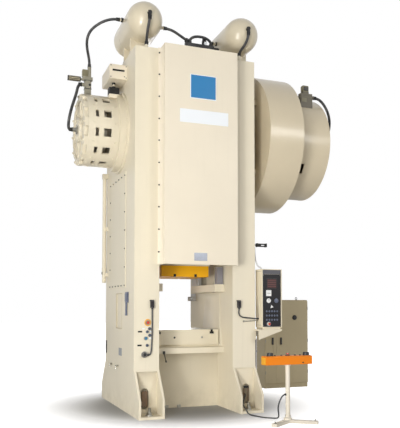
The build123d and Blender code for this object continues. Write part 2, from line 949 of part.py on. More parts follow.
# Brake disc with its hub, keyed to the shaft inside the drum
with BuildPart() as brake_disc:
    disc_end = shaft_left_end + brake_disc_from_end
    hub_end = disc_end + brake_disc_hub_width
    disc_middle = (disc_end + hub_end) / 2
    rod_along_x((disc_end, hub_end), 0, crank_height, brake_disc_hub_radius)
    disc_x = (disc_middle - brake_disc_thickness / 2, disc_middle + brake_disc_thickness / 2)
    rod_along_x(disc_x, 0, crank_height, brake_disc_radius)
    rod_along_x((disc_end, hub_end), 0, crank_height, shaft_radius, Mode.SUBTRACT)
write(brake_disc, "brake_disc")

# Rotary union that feeds air into the left end of the shaft
union_start = ring_face + end_ring_recess - end_boss_height
with BuildPart() as brake_union:
    union_neck = union_start - union_flange
    rod_along_x((union_neck, union_start), 0, crank_height, union_flange_radius)
    rod_along_x((union_start - union_length, union_neck), 0, crank_height, union_radius)
write(brake_union, "brake_union")

# Brake valve: base, body, head, solenoid and muffler, standing on the drum
with BuildPart() as brake_valve:
    valve_bottom = crank_height + brake_drum_radius
    valve_span = (valve_x - valve_width / 2, valve_x + valve_width / 2)
    valve_y = (-valve_depth / 2, valve_depth / 2)
    base_top = valve_bottom + valve_base_height
    body_top = base_top + valve_body_height
    head_top = body_top + valve_head_height
    # The base reaches down to the curved drum under its front and rear edges
    block(valve_span, (-40, 40), (valve_bottom - 6, base_top))
    drum_span = (valve_span[0] - 1, valve_span[1] + 1)
    rod_along_x(drum_span, 0, crank_height, brake_drum_radius, Mode.SUBTRACT)
    block(valve_span, valve_y, (base_top, body_top))
    head_span = (valve_x - valve_head_width / 2, valve_x + valve_head_width / 2)
    block(head_span, (-34, 34), (body_top, head_top))
    solenoid_span = (head_span[0] - 10, head_span[0] - 10 + solenoid_width)
    block(solenoid_span, (-40, 40), (head_top, head_top + solenoid_height))
    rod_along_z(inlet_x, 0, (head_top, head_top + inlet_height), valve_port_radius)
    port_z = base_top + valve_port_height
    port_span = (valve_span[0] - valve_port_length, valve_span[0])
    rod_along_x(port_span, 0, port_z, valve_port_radius)
    muffler_z = body_top + 16
    muffler_start = head_span[0] - muffler_neck
    rod_along_x((muffler_start, head_span[0]), 0, muffler_z, muffler_radius / 2)
    with BuildSketch(Plane(origin=(0, 0, muffler_z), x_dir=(1, 0, 0), z_dir=(0, -1, 0))):
        with BuildLine():
            Polyline(
                (muffler_start, 0),
                (muffler_start, muffler_radius * 0.7),
                (muffler_start - 16, muffler_radius),
                (muffler_start - muffler_length + 16, muffler_radius),
                (muffler_start - muffler_length, muffler_radius * 0.7),
                (muffler_start - muffler_length, 0),
                close=True,
            )
        make_face()
    revolve(axis=Axis((0, 0, muffler_z), (1, 0, 0)))
write(brake_valve, "brake_valve")

# Cam switch box, with the stem and small gearbox that turn its cams
with BuildPart() as cam_switch_box:
    cam_x = (-half_width - cam_box_width, -half_width)
    cam_y = (cam_box_front, cam_box_front + cam_box_depth)
    block(cam_x, cam_y, (cam_box_bottom, cam_box_bottom + cam_box_height))
    chamfer(cam_switch_box.faces().sort_by(Axis.X)[0].edges().filter_by(Axis.Y), 14)
    stem_x = -half_width - cam_box_width * 0.6
    drive_top = cam_drive_bottom + cam_drive_height
    rod_along_z(stem_x, cam_drive_y, (drive_top, cam_box_bottom), cam_stem_radius)
    # The gearbox stands on the curved boss of the brake housing
    drive_x = (stem_x - cam_drive_width / 2, stem_x + cam_drive_width / 2)
    drive_y = (cam_drive_y - cam_drive_depth / 2, cam_drive_y + cam_drive_depth / 2)
    block(drive_x, drive_y, (cam_drive_bottom - 60, drive_top))
    boss_span = (-half_width - brake_flange_thickness - brake_boss_width, -half_width)
    boss_room = brake_boss_radius + guide_clearance
    flange_room = brake_flange_radius + guide_clearance
    rod_along_x(boss_span, 0, crank_height, boss_room, Mode.SUBTRACT)
    flange_span = (-half_width - brake_flange_thickness - guide_clearance, -half_width)
    rod_along_x(flange_span, 0, crank_height, flange_room, Mode.SUBTRACT)
    drum_room = brake_drum_radius + guide_clearance
    rod_along_x((drive_x[0] - 1, boss_span[0]), 0, crank_height, drum_room, Mode.SUBTRACT)
write(cam_switch_box, "cam_switch_box")

# Vertical pipe with its top elbow and clips, on the left rear corner
with BuildPart() as oil_pipe:
    pipe_x = -half_width - pipe_stand_off - pipe_radius
    rod_along_z(pipe_x, pipe_y, (pipe_bottom, pipe_top), pipe_radius)
    elbow_x = (pipe_x - pipe_radius - 6, -half_width)
    elbow_y = (pipe_y - pipe_radius - 6, pipe_y + pipe_radius + 6)
    block(elbow_x, elbow_y, (pipe_top, pipe_top + 90))
    clip_y = (pipe_y - pipe_radius - 12, pipe_y + pipe_radius + 12)
    for clip_z in (pipe_bottom + 120, (pipe_bottom + pipe_top) / 2):
        clip_x = (pipe_x, -half_width)
        block(clip_x, clip_y, (clip_z, clip_z + pipe_clip_height))
write(oil_pipe, "oil_pipe")

# Flywheel hub: flanged sleeve bolted to the right upright, round the shaft
with BuildPart() as flywheel_hub:
    with BuildSketch(crank_side):
        with BuildLine():
            Polyline(
                (half_width, shaft_radius + hub_bore_gap),
                (half_width + hub_length, shaft_radius + hub_bore_gap),
                (half_width + hub_length, hub_outer_radius),
                (half_width + hub_flange_thickness, hub_outer_radius),
                (half_width + hub_flange_thickness, hub_flange_radius),
                (half_width, hub_flange_radius),
                close=True,
            )
        make_face()
    revolve(axis=crank_axis)
write(flywheel_hub, "flywheel_hub")

# Flywheel: rim with belt grooves, web and hub
flywheel_right = flywheel_left + flywheel_width
flywheel_middle = flywheel_left + flywheel_width / 2
groove_x = [flywheel_middle + (i - (groove_count - 1) / 2) * groove_pitch for i in range(groove_count)]
with BuildPart() as flywheel:
    with BuildSketch(crank_side):
        with BuildLine():
            Polyline(
                (flywheel_left, flywheel_radius),
                (flywheel_right, flywheel_radius),
                (flywheel_right, flywheel_radius - flywheel_rim),
                (flywheel_middle + flywheel_web / 2, flywheel_radius - flywheel_rim - 40),
                (flywheel_middle + flywheel_web / 2, flywheel_hub_radius),
                (flywheel_right - 20, flywheel_hub_radius - 30),
                (flywheel_right - 20, hub_outer_radius + running_clearance),
                (flywheel_left + 20, hub_outer_radius + running_clearance),
                (flywheel_left + 20, flywheel_hub_radius - 30),
                (flywheel_middle - flywheel_web / 2, flywheel_hub_radius),
                (flywheel_middle - flywheel_web / 2, flywheel_radius - flywheel_rim - 40),
                (flywheel_left, flywheel_radius - flywheel_rim),
                close=True,
            )
        make_face()
        with Locations(*[(x, flywheel_radius - groove_depth / 2) for x in groove_x]):
            Rectangle(belt_width + 4, groove_depth, mode=Mode.SUBTRACT)
    revolve(axis=crank_axis)
write(flywheel, "flywheel")


def belt_loop(x, gap):
    """The outline round the flywheel and the pulley, gap outside their grooves."""
    with BuildSketch(Plane.YZ.offset(x)) as loop:
        with Locations((0, crank_height)):
            Circle(flywheel_radius - groove_depth + gap)
        with Locations((motor_y, crank_height)):
            Circle(pulley_radius - groove_depth + gap)
        make_hull()
    return loop.sketch


# Drive belts: four loops round the flywheel and the motor pulley
with BuildPart() as drive_belts:
    for x in groove_x:
        loop_x = x - belt_width / 2
        ring = belt_loop(loop_x, belt_clearance + belt_thickness) - belt_loop(loop_x, belt_clearance)
        extrude(ring, amount=belt_width)
write(drive_belts, "drive_belts")

# Motor pulley on the motor's shaft
with BuildPart() as motor_pulley:
    pulley_side = Plane(origin=(0, motor_y, crank_height), x_dir=(1, 0, 0), z_dir=(0, -1, 0))
    with BuildSketch(pulley_side):
        with Locations((flywheel_middle, pulley_radius / 2)):
            Rectangle(groove_count * groove_pitch + 20, pulley_radius)
        with Locations(*[(x, pulley_radius - groove_depth / 2) for x in groove_x]):
            Rectangle(belt_width + 4, groove_depth, mode=Mode.SUBTRACT)
    revolve(axis=Axis((0, motor_y, crank_height), (1, 0, 0)))
    shaft_start = motor_left + motor_length - 100
    rod_along_x((shaft_start, flywheel_middle), motor_y, crank_height, motor_shaft_radius)
write(motor_pulley, "motor_pulley")

# Main motor: finned body on feet, with its terminal box
with BuildPart() as main_motor:
    motor_right = motor_left + motor_length
    with BuildSketch(Plane.YZ.offset(motor_left + 60)):
        with Locations((motor_y, crank_height)):
            Circle(motor_radius - motor_fin_height)
            with PolarLocations(motor_radius - motor_fin_height, motor_fin_count):
                Rectangle(2 * motor_fin_height, 14)
    extrude(amount=motor_length - 120)
    rod_along_x((motor_left, motor_left + 60), motor_y, crank_height, motor_radius - 20)
    rod_along_x((motor_right - 60, motor_right), motor_y, crank_height, motor_radius - 6)
    foot_y = (motor_y - motor_foot_width / 2, motor_y + motor_foot_width / 2)
    foot_z = (motor_seat_top, motor_seat_top + motor_foot_height + 40)
    foot_x = (inner_face + 30, half_width - 30)
    block(foot_x, foot_y, foot_z)
    box_x = (motor_left + 200, motor_left + 200 + motor_box_size)
    box_y = (motor_y + motor_radius - 40, motor_y + motor_radius + 90)
    block(box_x, box_y, (crank_height - motor_box_size / 2, crank_height + motor_box_size / 2))
    shaft_room = (shaft_start - 1, motor_right)
    room_radius = motor_shaft_radius + running_clearance
    rod_along_x(shaft_room, motor_y, crank_height, room_radius, Mode.SUBTRACT)
write(main_motor, "main_motor")


def guard_outline(x, wall):
    """The side view of the flywheel guard, wall inside its outer surface."""
    with BuildSketch(Plane.YZ.offset(x)) as outline:
        with Locations((0, crank_height)):
            Circle(guard_radius - wall)
        with Locations((motor_y, crank_height)):
            Circle(guard_tail_radius - wall)
        make_hull()
    return outline.sketch


# Flywheel guard: sheet drum that runs back over the motor pulley
guard_right = guard_left + guard_width
with BuildPart() as flywheel_guard:
    extrude(guard_outline(guard_left, 0), amount=guard_width)
    inside = guard_outline(guard_left + guard_wall, guard_wall)
    extrude(inside, amount=guard_width - 2 * guard_wall, mode=Mode.SUBTRACT)
    back = (guard_left - 1, guard_left + guard_wall + 1)
    rod_along_x(back, 0, crank_height, hub_outer_radius + guard_hub_gap, Mode.SUBTRACT)
    rod_along_x(back, motor_y, crank_height, motor_shaft_radius + 20, Mode.SUBTRACT)
    front = (guard_right - guard_wall - 1, guard_right + 1)
    rod_along_x(front, 0, crank_height, clutch_guard_radius - clutch_guard_lip, Mode.SUBTRACT)
    # Brackets that hold the guard to the right upright
    bracket_reach = hub_flange_radius + 60
    for end in (-1, 1):
        for level in (-1, 1):
            bracket_y = sorted((end * bracket_reach, end * (bracket_reach + 90)))
            level_z = crank_height + level * bracket_reach
            bracket_z = sorted((level_z, level_z + level * 90))
            block((half_width, guard_left), bracket_y, bracket_z)
write(flywheel_guard, "flywheel_guard")

# Clutch guard: smaller drum closed at its outer end, with a slot in its wall and the union's cap
clutch_guard_right = guard_right + clutch_guard_width
clutch_cap_end = clutch_guard_right + clutch_cap_width
clutch_union_end = clutch_cap_end + clutch_union_length
with BuildPart() as clutch_guard:
    with BuildSketch(crank_side):
        with BuildLine():
            Polyline(
                (guard_right, clutch_guard_radius),
                (clutch_guard_right, clutch_guard_radius),
                (clutch_guard_right, clutch_cap_radius),
                (clutch_cap_end, clutch_cap_radius - 12),
                (clutch_cap_end, clutch_union_radius),
                (clutch_union_end, clutch_union_radius),
                (clutch_union_end, 0),
                (clutch_guard_right - guard_wall, 0),
                (clutch_guard_right - guard_wall, clutch_guard_radius - guard_wall),
                (guard_right, clutch_guard_radius - guard_wall),
                close=True,
            )
        make_face()
    revolve(axis=crank_axis)
    slot_spoke = Location((0, 0, crank_height), (90 + clutch_slot_angle * -1, 0, 0))
    slot_place = slot_spoke * Pos(clutch_slot_x, 0, clutch_guard_radius - guard_wall / 2)
    with Locations(slot_place):
        Box(clutch_slot_width, clutch_slot_height, 6 * guard_wall, mode=Mode.SUBTRACT)
write(clutch_guard, "clutch_guard")

# Clutch drum, keyed to the shaft inside its guard
with BuildPart() as clutch_drum:
    clutch_drum_right = clutch_drum_left + clutch_drum_width
    with BuildSketch(crank_side):
        with BuildLine():
            Polyline(
                (clutch_drum_left, shaft_radius),
                (clutch_drum_left, clutch_drum_radius),
                (clutch_drum_right - 60, clutch_drum_radius),
                (clutch_drum_right - 60, clutch_drum_radius - 120),
                (clutch_drum_right, clutch_drum_radius - 150),
                (clutch_drum_right, shaft_radius),
                close=True,
            )
        make_face()
    revolve(axis=crank_axis)
write(clutch_drum, "clutch_drum")

# Clutch air valve, standing on the front upper side of the clutch guard
with BuildPart() as clutch_valve:
    clutch_valve_x = (clutch_valve_left, clutch_valve_left + clutch_valve_width)
    clutch_valve_span = (
        clutch_valve_y - clutch_valve_depth / 2,
        clutch_valve_y + clutch_valve_depth / 2,
    )
    block(clutch_valve_x, clutch_valve_span, (crank_height, clutch_valve_top))
    guard_span = (clutch_valve_x[0] - 1, clutch_valve_x[1] + 1)
    rod_along_x(guard_span, 0, crank_height, clutch_guard_radius, Mode.SUBTRACT)
    coil_x = (clutch_coil_left, clutch_coil_left + clutch_coil_width)
    coil_y = (clutch_valve_y - 40, clutch_valve_y + 40)
    block(coil_x, coil_y, (clutch_valve_top, clutch_coil_top))
    clutch_port = (clutch_valve_x[1], clutch_valve_x[1] + clutch_port_length)
    rod_along_x(clutch_port, clutch_valve_y, clutch_port_height, valve_port_radius)
write(clutch_valve, "clutch_valve")


def air_tank(side):
    """A tank with round ends on two plate feet; side is -1 for the left one."""
    centre_x = side * tank_x
    with BuildPart() as tank:
        rod_along_y(centre_x, (tank_front_centre, tank_rear_centre), tank_height, tank_radius)
        with Locations(
            (centre_x, tank_front_centre, tank_height), (centre_x, tank_rear_centre, tank_height)
        ):
            Sphere(tank_radius)
        for foot_middle in tank_foot_places:
            foot_y = (foot_middle - tank_foot_thickness / 2, foot_middle + tank_foot_thickness / 2)
            foot_x = sorted((side * half_width, side * (half_width - tank_foot_width)))
            block(foot_x, foot_y, (frame_height, tank_height - tank_radius / 2))
            base_y = (foot_middle - 60, foot_middle + 60)
            block(foot_x, base_y, (frame_height, frame_height + tank_foot_thickness))
        # Elbow on the front dome, pointing down
        nose = tank_front_centre - tank_radius
        elbow_y = nose - tank_elbow_reach
        rod_along_y(centre_x, (elbow_y, nose + 20), tank_height, tank_port_radius)
        elbow_z = (tank_height - tank_elbow_drop, tank_height + tank_port_radius)
        rod_along_z(centre_x, elbow_y, elbow_z, tank_port_radius)
        # Port towards the middle of the crown
        port_y = middle_port_y if side < 0 else right_port_y
        port_end = tank_x - tank_radius - tank_port_length
        port_x = sorted((side * (port_end + tank_port_length + 20), side * port_end))
        rod_along_x(port_x, port_y, tank_height - tank_port_drop, tank_port_radius)
        # The left tank also feeds the brake, from a port on its outer side
        if side < 0:
            side_x = (centre_x - tank_radius - 37, centre_x - tank_radius / 2)
            rod_along_x(side_x, side_port_y, tank_height + side_port_rise, tank_port_radius)
    return tank


# Left and right air tanks
left_air_tank = air_tank(-1)
write(left_air_tank, "left_air_tank")
right_air_tank = air_tank(1)
write(right_air_tank, "right_air_tank")

# Air regulator: manifold block on two posts, the regulator, and the pipe from the right tank
with BuildPart() as air_regulator:
    manifold_x = (manifold_left, manifold_left + manifold_length)
    manifold_span = (manifold_y - manifold_size / 2, manifold_y + manifold_size / 2)
    manifold_top = manifold_height + manifold_size
    block(manifold_x, manifold_span, (manifold_height, manifold_top))
    for post_x in (manifold_x[0] + 50, manifold_x[1] - 50):
        rod_along_z(post_x, manifold_y, (frame_height, manifold_height), 20)
    for end_x in (left_tank_route[-1][0], crown_route[0][0], crown_route[-1][0]):
        rod_along_z(end_x, manifold_y, (manifold_top, crown_route[0][2]), tank_hose_diameter / 2 + 3)
    stand_y_offset = manifold_y + regulator_offset
    block((regulator_x - 30, regulator_x + 30), (manifold_y, stand_y_offset), (manifold_height, manifold_top))
    body_z = (manifold_height, manifold_top + regulator_body)
    rod_along_z(regulator_x, stand_y_offset, body_z, regulator_radius)
    knob_z = (body_z[1], body_z[1] + regulator_knob)
    rod_along_z(regulator_x, stand_y_offset, knob_z, regulator_radius * 0.7)
    # Pipe along the crown and up to the port of the right tank
    pipe_z = manifold_height + manifold_size / 2
    pipe_end_x = tank_x - tank_radius - tank_port_length - manifold_pipe_radius - 2
    rod_along_x((manifold_x[1], pipe_end_x), manifold_y, pipe_z, manifold_pipe_radius)
    rod_along_y(pipe_end_x, (manifold_y, right_port_y), pipe_z, manifold_pipe_radius)
    riser_z = (pipe_z, tank_height - tank_port_drop)
    rod_along_z(pipe_end_x, right_port_y, riser_z, manifold_pipe_radius)
    riser_x = (pipe_end_x, tank_x - tank_radius - tank_port_length)
    rod_along_x(riser_x, right_port_y, riser_z[1], tank_port_radius)
write(air_regulator, "air_regulator")


def push_button(centre, head_radius, outward):
    """A mushroom head on a stem that runs in its collar; outward is the way the head faces."""
    face = Plane(origin=centre, z_dir=outward)
    with BuildPart() as button:
        with BuildSketch(face.offset(button_rest_gap)):
            Circle(head_radius)
        extrude(amount=button_head_height)
        chamfer(button.faces().sort_by(Axis(centre, outward))[-1].edges(), 4)
        with BuildSketch(face.offset(button_rest_gap)):
            Circle(stem_radius)
        extrude(amount=-button_rest_gap - stop_collar_height + stop_travel + 1)
    return button


def collar(centre, radius, outward):
    """A ring on the panel for a button's stem, with its outer face through centre."""
    face = Plane(origin=centre, z_dir=outward)
    with BuildSketch(face) as ring:
        Circle(radius)
        Circle(stem_radius + stem_clearance, mode=Mode.SUBTRACT)
    return extrude(ring.sketch, amount=-stop_collar_height)


# Bracket of the console: shelf with two gussets, welded to a plate on the right upright
with BuildPart() as console_bracket:
    console_right = console_left + console_width
    shelf_top = console_bottom - console_foot_height
    shelf_bottom = shelf_top - shelf_thickness
    shelf_y = (console_front, console_front + shelf_depth)
    block((half_width, console_right), shelf_y, (shelf_bottom, shelf_top))
    for gusset_y in (console_front, console_front + shelf_depth - gusset_thickness):
        with BuildSketch(Plane.XZ.offset(-gusset_y - gusset_thickness)):
            with BuildLine():
                Polyline(
                    (half_width, shelf_bottom),
                    (console_right, shelf_bottom),
                    (half_width, shelf_bottom - gusset_drop),
                    close=True,
                )
            make_face()
        extrude(amount=gusset_thickness)
    plate_y = (-half_depth, console_front + shelf_depth)
    plate_z = (shelf_bottom - gusset_drop, shelf_bottom)
    block((half_width, half_width + gusset_thickness), plate_y, plate_z)
write(console_bracket, "console_bracket")

# Console: sheet box on two foot rails, its panel set back in the front rim
console_stop = (console_left + 127, console_front + console_panel_inset - stop_collar_height, 1443)
console_ring = collar(console_stop, stop_collar_radius - 6, (0, -1, 0))
with BuildPart() as console_box:
    console_x = (console_left, console_right)
    console_y = (console_front, console_front + console_depth)
    console_top = console_bottom + console_height
    block(console_x, console_y, (console_bottom, console_top))
    panel_x = (console_left + console_rim, console_right - console_rim)
    panel_y = (console_front, console_front + console_panel_inset)
    panel_z = (console_bottom + console_rim, console_top - console_rim)
    block(panel_x, panel_y, panel_z, Mode.SUBTRACT)
    for rail_y in (console_y[0] + 20, console_y[1] - 60):
        rail_span = (rail_y, rail_y + 40)
        block((console_left + 20, console_right - 20), rail_span, (shelf_top, console_bottom))
    # Gland for the cable from the light sensor on the right column
    gland_end = right_sensor_route[-1]
    rod_along_x((gland_end[0], console_left), gland_end[1], gland_end[2], gland_radius)
    add(console_ring)
write(console_box, "console_box")

# Emergency stop of the console
console_estop = push_button(console_stop, stop_head_radius - 4, (0, -1, 0))
write(console_estop, "console_estop")

# Collars, selector knobs, socket and light sensors on the front of the columns
column_face = -half_depth
collar_face = column_face - stop_collar_height
stop_centre = (column_stop[0], collar_face, column_stop[1])
start_centre = (column_button_place[0], collar_face, column_button_place[1])
stop_ring = collar(stop_centre, stop_collar_radius, (0, -1, 0))
start_ring = collar(start_centre, button_collar_radius, (0, -1, 0))
with BuildPart() as column_fittings:
    add(stop_ring)
    add(start_ring)
    for x, z in selector_places:
        rod_along_y(x, (column_face - selector_reach, column_face), z, selector_radius)
    socket_y = (column_face - socket_reach, column_face)
    rod_along_y(socket_place[0], socket_y, socket_place[1], socket_radius)
    # Gland on the side of the socket for the cable from the left light sensor
    socket_end = left_sensor_route[-1]
    rod_along_x((socket_place[0], socket_end[0]), socket_end[1], socket_end[2], gland_radius)
    for x, z in sensor_places:
        sensor_x = (x - sensor_width / 2, x + sensor_width / 2)
        sensor_z = (z - sensor_height / 2, z + sensor_height / 2)
        block(sensor_x, (column_face - sensor_reach, column_face), sensor_z)
write(column_fittings, "column_fittings")

# Emergency stop and start button on the left column
column_estop = push_button(stop_centre, stop_head_radius, (0, -1, 0))
write(column_estop, "column_estop")
column_button = push_button(start_centre, button_head_radius, (0, -1, 0))
write(column_button, "column_button")

# Electrical cabinet: sheet body open at the front, on a plinth
with BuildPart() as control_cabinet:
    cabinet_x = (cabinet_left, cabinet_left + cabinet_width)
    cabinet_y = (cabinet_front, cabinet_front + cabinet_depth)
    block(cabinet_x, cabinet_y, (0, cabinet_height))
    room_x = (cabinet_x[0] + cabinet_wall, cabinet_x[1] - cabinet_wall)
    room_y = (cabinet_front, cabinet_y[1] - cabinet_wall)
    room_z = (cabinet_plinth, cabinet_height - cabinet_wall)
    block(room_x, room_y, room_z, Mode.SUBTRACT)
write(control_cabinet, "control_cabinet")

# Cabinet doors, each a sheet pan with its handle
door_z = (cabinet_plinth - 10, cabinet_height - cabinet_top_margin)
door_back = cabinet_front - belt_clearance
door_y = (door_back - door_thickness, door_back)
split_x = cabinet_left + left_door_width
handle_y = (door_y[0] - handle_reach, door_y[0])
handle_z = (handle_middle - handle_height / 2, handle_middle + handle_height / 2)
with BuildPart() as cabinet_left_door:
    block((cabinet_x[0] + door_gap, split_x - door_gap / 2), door_y, door_z)
    left_handle_x = split_x - handle_inset
    block((left_handle_x - handle_width, left_handle_x), handle_y, handle_z)
write(cabinet_left_door, "cabinet_left_door")
with BuildPart() as cabinet_right_door:
    block((split_x + door_gap / 2, cabinet_x[1] - door_gap), door_y, door_z)
    right_handle_x = split_x + handle_inset
    block((right_handle_x, right_handle_x + handle_width), handle_y, handle_z)
write(cabinet_right_door, "cabinet_right_door")

# Rotary main switch on the right door
with BuildPart() as cabinet_switch:
    switch_back = door_y[0] - stem_clearance
    rod_along_y(switch_x, (switch_back - switch_reach / 2, switch_back), switch_height, switch_radius)
    bar_x = (switch_x - switch_neck_radius, switch_x + switch_neck_radius)
    bar_z = (switch_height - switch_radius * 0.9, switch_height + switch_radius * 0.9)
    block(bar_x, (switch_back - switch_reach, switch_back - switch_reach / 2), bar_z)
write(cabinet_switch, "cabinet_switch")

# Control stand: three legs and a round column
with BuildPart() as stand_column:
    for angle in stand_leg_angles:
        leg = Location((stand_x, stand_y, 0), (0, 0, angle))
        with Locations(leg * Pos(stand_leg_length / 2, 0, stand_leg_height / 2)):
            Box(stand_leg_length, stand_leg_width, stand_leg_height)
    rod_along_z(stand_x, stand_y, (0, stand_leg_height + 20), stand_leg_width * 0.7)
    rod_along_z(stand_x, stand_y, (stand_leg_height, stand_column_top), stand_column_radius)
write(stand_column, "stand_column")

# Box of the control stand, with a shroud round each palm button and a collar for the stop
stand_box_right = stand_box_left + stand_box_width
stand_box_top = stand_column_top + stand_box_height
palm_places = [(stand_box_left + palm_inset, stand_y), (stand_box_right - right_palm_inset, stand_y)]
stand_stop = (stand_x, stand_y, stand_box_top + stop_collar_height)
stand_ring = collar(stand_stop, stop_collar_radius, (0, 0, 1))
with BuildPart() as stand_box:
    box_y = (stand_y - stand_box_depth / 2, stand_y + stand_box_depth / 2)
    block((stand_box_left, stand_box_right), box_y, (stand_column_top, stand_box_top))
    chamfer(stand_box.edges().filter_by(Axis.X).group_by(Axis.Z)[-1], 18)
    for x, y in palm_places:
        shroud_z = (stand_box_top - 6, stand_box_top + shroud_height)
        rod_along_z(x, y, shroud_z, shroud_radius)
        well_z = (stand_box_top, stand_box_top + shroud_height)
        rod_along_z(x, y, well_z, shroud_radius - shroud_wall, Mode.SUBTRACT)
        stem_z = (stand_box_top - 30, stand_box_top)
        rod_along_z(x, y, stem_z, stem_radius + stem_clearance, Mode.SUBTRACT)
    add(stand_ring)
write(stand_box, "stand_box")


def palm_button(place):
    """A palm button in its shroud, on a stem that runs in the box."""
    centre = (place[0], place[1], stand_box_top)
    with BuildPart() as button:
        with BuildSketch(Plane(origin=centre).offset(palm_travel + 4)):
            Circle(palm_radius)
        extrude(amount=shroud_height - palm_travel - 10)
        chamfer(button.faces().sort_by(Axis.Z)[-1].edges(), 8)
        with BuildSketch(Plane(origin=centre).offset(palm_travel + 4)):
            Circle(stem_radius)
        extrude(amount=-palm_travel - 4 - 20)
    return button


# Palm buttons and emergency stop of the stand
left_palm_button = palm_button(palm_places[0])
write(left_palm_button, "left_palm_button")
right_palm_button = palm_button(palm_places[1])
write(right_palm_button, "right_palm_button")
stand_estop = push_button(stand_stop, stop_head_radius, (0, 0, 1))
write(stand_estop, "stand_estop")


def hose(route, diameter, name):
    """A round hose: straight runs between the points of its route, joined by tangent arcs."""
    points = [Vector(*point) for point in route]
    radii = []
    for before, corner, after in zip(points, points[1:], points[2:]):
        half_turn = radians((corner - before).get_angle(after - corner)) / 2
        shorter = min((corner - before).length, (after - corner).length)
        radii.append(0.45 * shorter / tan(half_turn))
    with BuildPart() as tube:
        with BuildLine() as path:
            FilletPolyline(*points, radius=radii)
        start = path.wires()[0]
        with BuildSketch(Plane(origin=start @ 0, z_dir=start % 0)):
            Circle(diameter / 2)
        sweep(path=start)
    section = pi * diameter**2 / 4
    print(name, "radii", [round(radius) for radius in radii])
    print(name, "length", round(start.length), "volume ratio", tube.part.volume / section / start.length)
    return tube


# Air hoses and cables, each one a piece of its own
left_dome_hose = hose(left_dome_route, tank_hose_diameter, "left_dome_hose")
write(left_dome_hose, "left_dome_hose")
right_dome_hose = hose(right_dome_route, tank_hose_diameter, "right_dome_hose")
write(right_dome_hose, "right_dome_hose")
brake_feed_hose = hose(brake_feed_route, tank_hose_diameter, "brake_feed_hose")
write(brake_feed_hose, "brake_feed_hose")
brake_hose = hose(brake_route, hose_diameter, "brake_hose")
write(brake_hose, "brake_hose")
left_tank_hose = hose(left_tank_route, tank_hose_diameter, "left_tank_hose")
write(left_tank_hose, "left_tank_hose")
crown_hose = hose(crown_route, tank_hose_diameter, "crown_hose")
write(crown_hose, "crown_hose")
clutch_hose = hose(clutch_route, hose_diameter, "clutch_hose")
write(clutch_hose, "clutch_hose")
stand_cable = hose(stand_cable_route, cable_diameter, "stand_cable")
write(stand_cable, "stand_cable")
left_sensor_cable = hose(left_sensor_route, cable_diameter, "left_sensor_cable")
write(left_sensor_cable, "left_sensor_cable")
right_sensor_cable = hose(right_sensor_route, cable_diameter, "right_sensor_cable")
write(right_sensor_cable, "right_sensor_cable")
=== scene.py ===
from math import cos, pi, radians, sin

import bmesh
import bpy
from mathutils import Matrix, Vector


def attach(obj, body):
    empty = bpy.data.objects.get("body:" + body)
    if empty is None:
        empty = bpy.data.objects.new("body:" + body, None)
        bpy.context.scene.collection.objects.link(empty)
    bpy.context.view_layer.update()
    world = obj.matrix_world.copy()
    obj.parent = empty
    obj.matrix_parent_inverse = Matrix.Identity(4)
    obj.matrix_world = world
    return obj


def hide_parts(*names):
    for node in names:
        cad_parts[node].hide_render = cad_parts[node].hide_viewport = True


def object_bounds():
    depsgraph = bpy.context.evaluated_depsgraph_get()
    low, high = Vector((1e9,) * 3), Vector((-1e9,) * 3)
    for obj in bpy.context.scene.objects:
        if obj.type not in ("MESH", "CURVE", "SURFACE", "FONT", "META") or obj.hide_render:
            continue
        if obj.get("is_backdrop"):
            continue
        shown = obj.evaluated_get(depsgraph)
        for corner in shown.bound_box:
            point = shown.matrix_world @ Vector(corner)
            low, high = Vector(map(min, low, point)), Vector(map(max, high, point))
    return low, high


# Studio. The press stands on a pale floor in soft light that comes mostly from the front,
# from about the height of the die space, so that the upper curves of the drums fall into shade.
# The camera stands at eye height, a little to the left of the press.
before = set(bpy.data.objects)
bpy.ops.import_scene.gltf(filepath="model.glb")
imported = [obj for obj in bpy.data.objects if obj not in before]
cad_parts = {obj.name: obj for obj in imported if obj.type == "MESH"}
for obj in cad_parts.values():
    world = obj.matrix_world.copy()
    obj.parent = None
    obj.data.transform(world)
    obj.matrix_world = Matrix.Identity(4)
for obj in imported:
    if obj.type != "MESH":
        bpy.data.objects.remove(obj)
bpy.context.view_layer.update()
scene = bpy.context.scene


def shade(red, green, blue):
    """A colour given as it looks in the photograph, 0 to 255, as linear light."""
    linear = []
    for value in (red, green, blue):
        value = value / 255
        linear.append(value / 12.92 if value <= 0.04045 else ((value + 0.055) / 1.055) ** 2.4)
    return (*linear, 1.0)


def add_object(name, data):
    """Puts a new object into the scene."""
    made = bpy.data.objects.new(name, data)
    scene.collection.objects.link(made)
    return made


camera_heading = radians(20.79)
camera_tilt = radians(2.78)
camera_data = bpy.data.cameras.new("camera")
camera_data.lens = 54.24
camera_data.sensor_width = 36
camera_data.shift_x = -0.0126
camera_data.shift_y = 0.144
camera_data.clip_end = 200
camera = add_object("camera", camera_data)
camera.location = (-3.626, -11.006, 1.729)
camera.rotation_euler = (pi / 2 + camera_tilt, 0, -camera_heading)
scene.camera = camera
scene.view_settings.view_transform = "Standard"


def soft_lamp(name, place, target, width, power, colour):
    """A large square lamp that faces its target."""
    data = bpy.data.lights.new(name, "AREA")
    data.shape = "SQUARE"
    data.size = width
    data.energy = power
    data.color = colour
    lamp = add_object(name, data)
    lamp.location = place
    lamp.rotation_euler = (Vector(target) - Vector(place)).to_track_quat("-Z", "Y").to_euler()


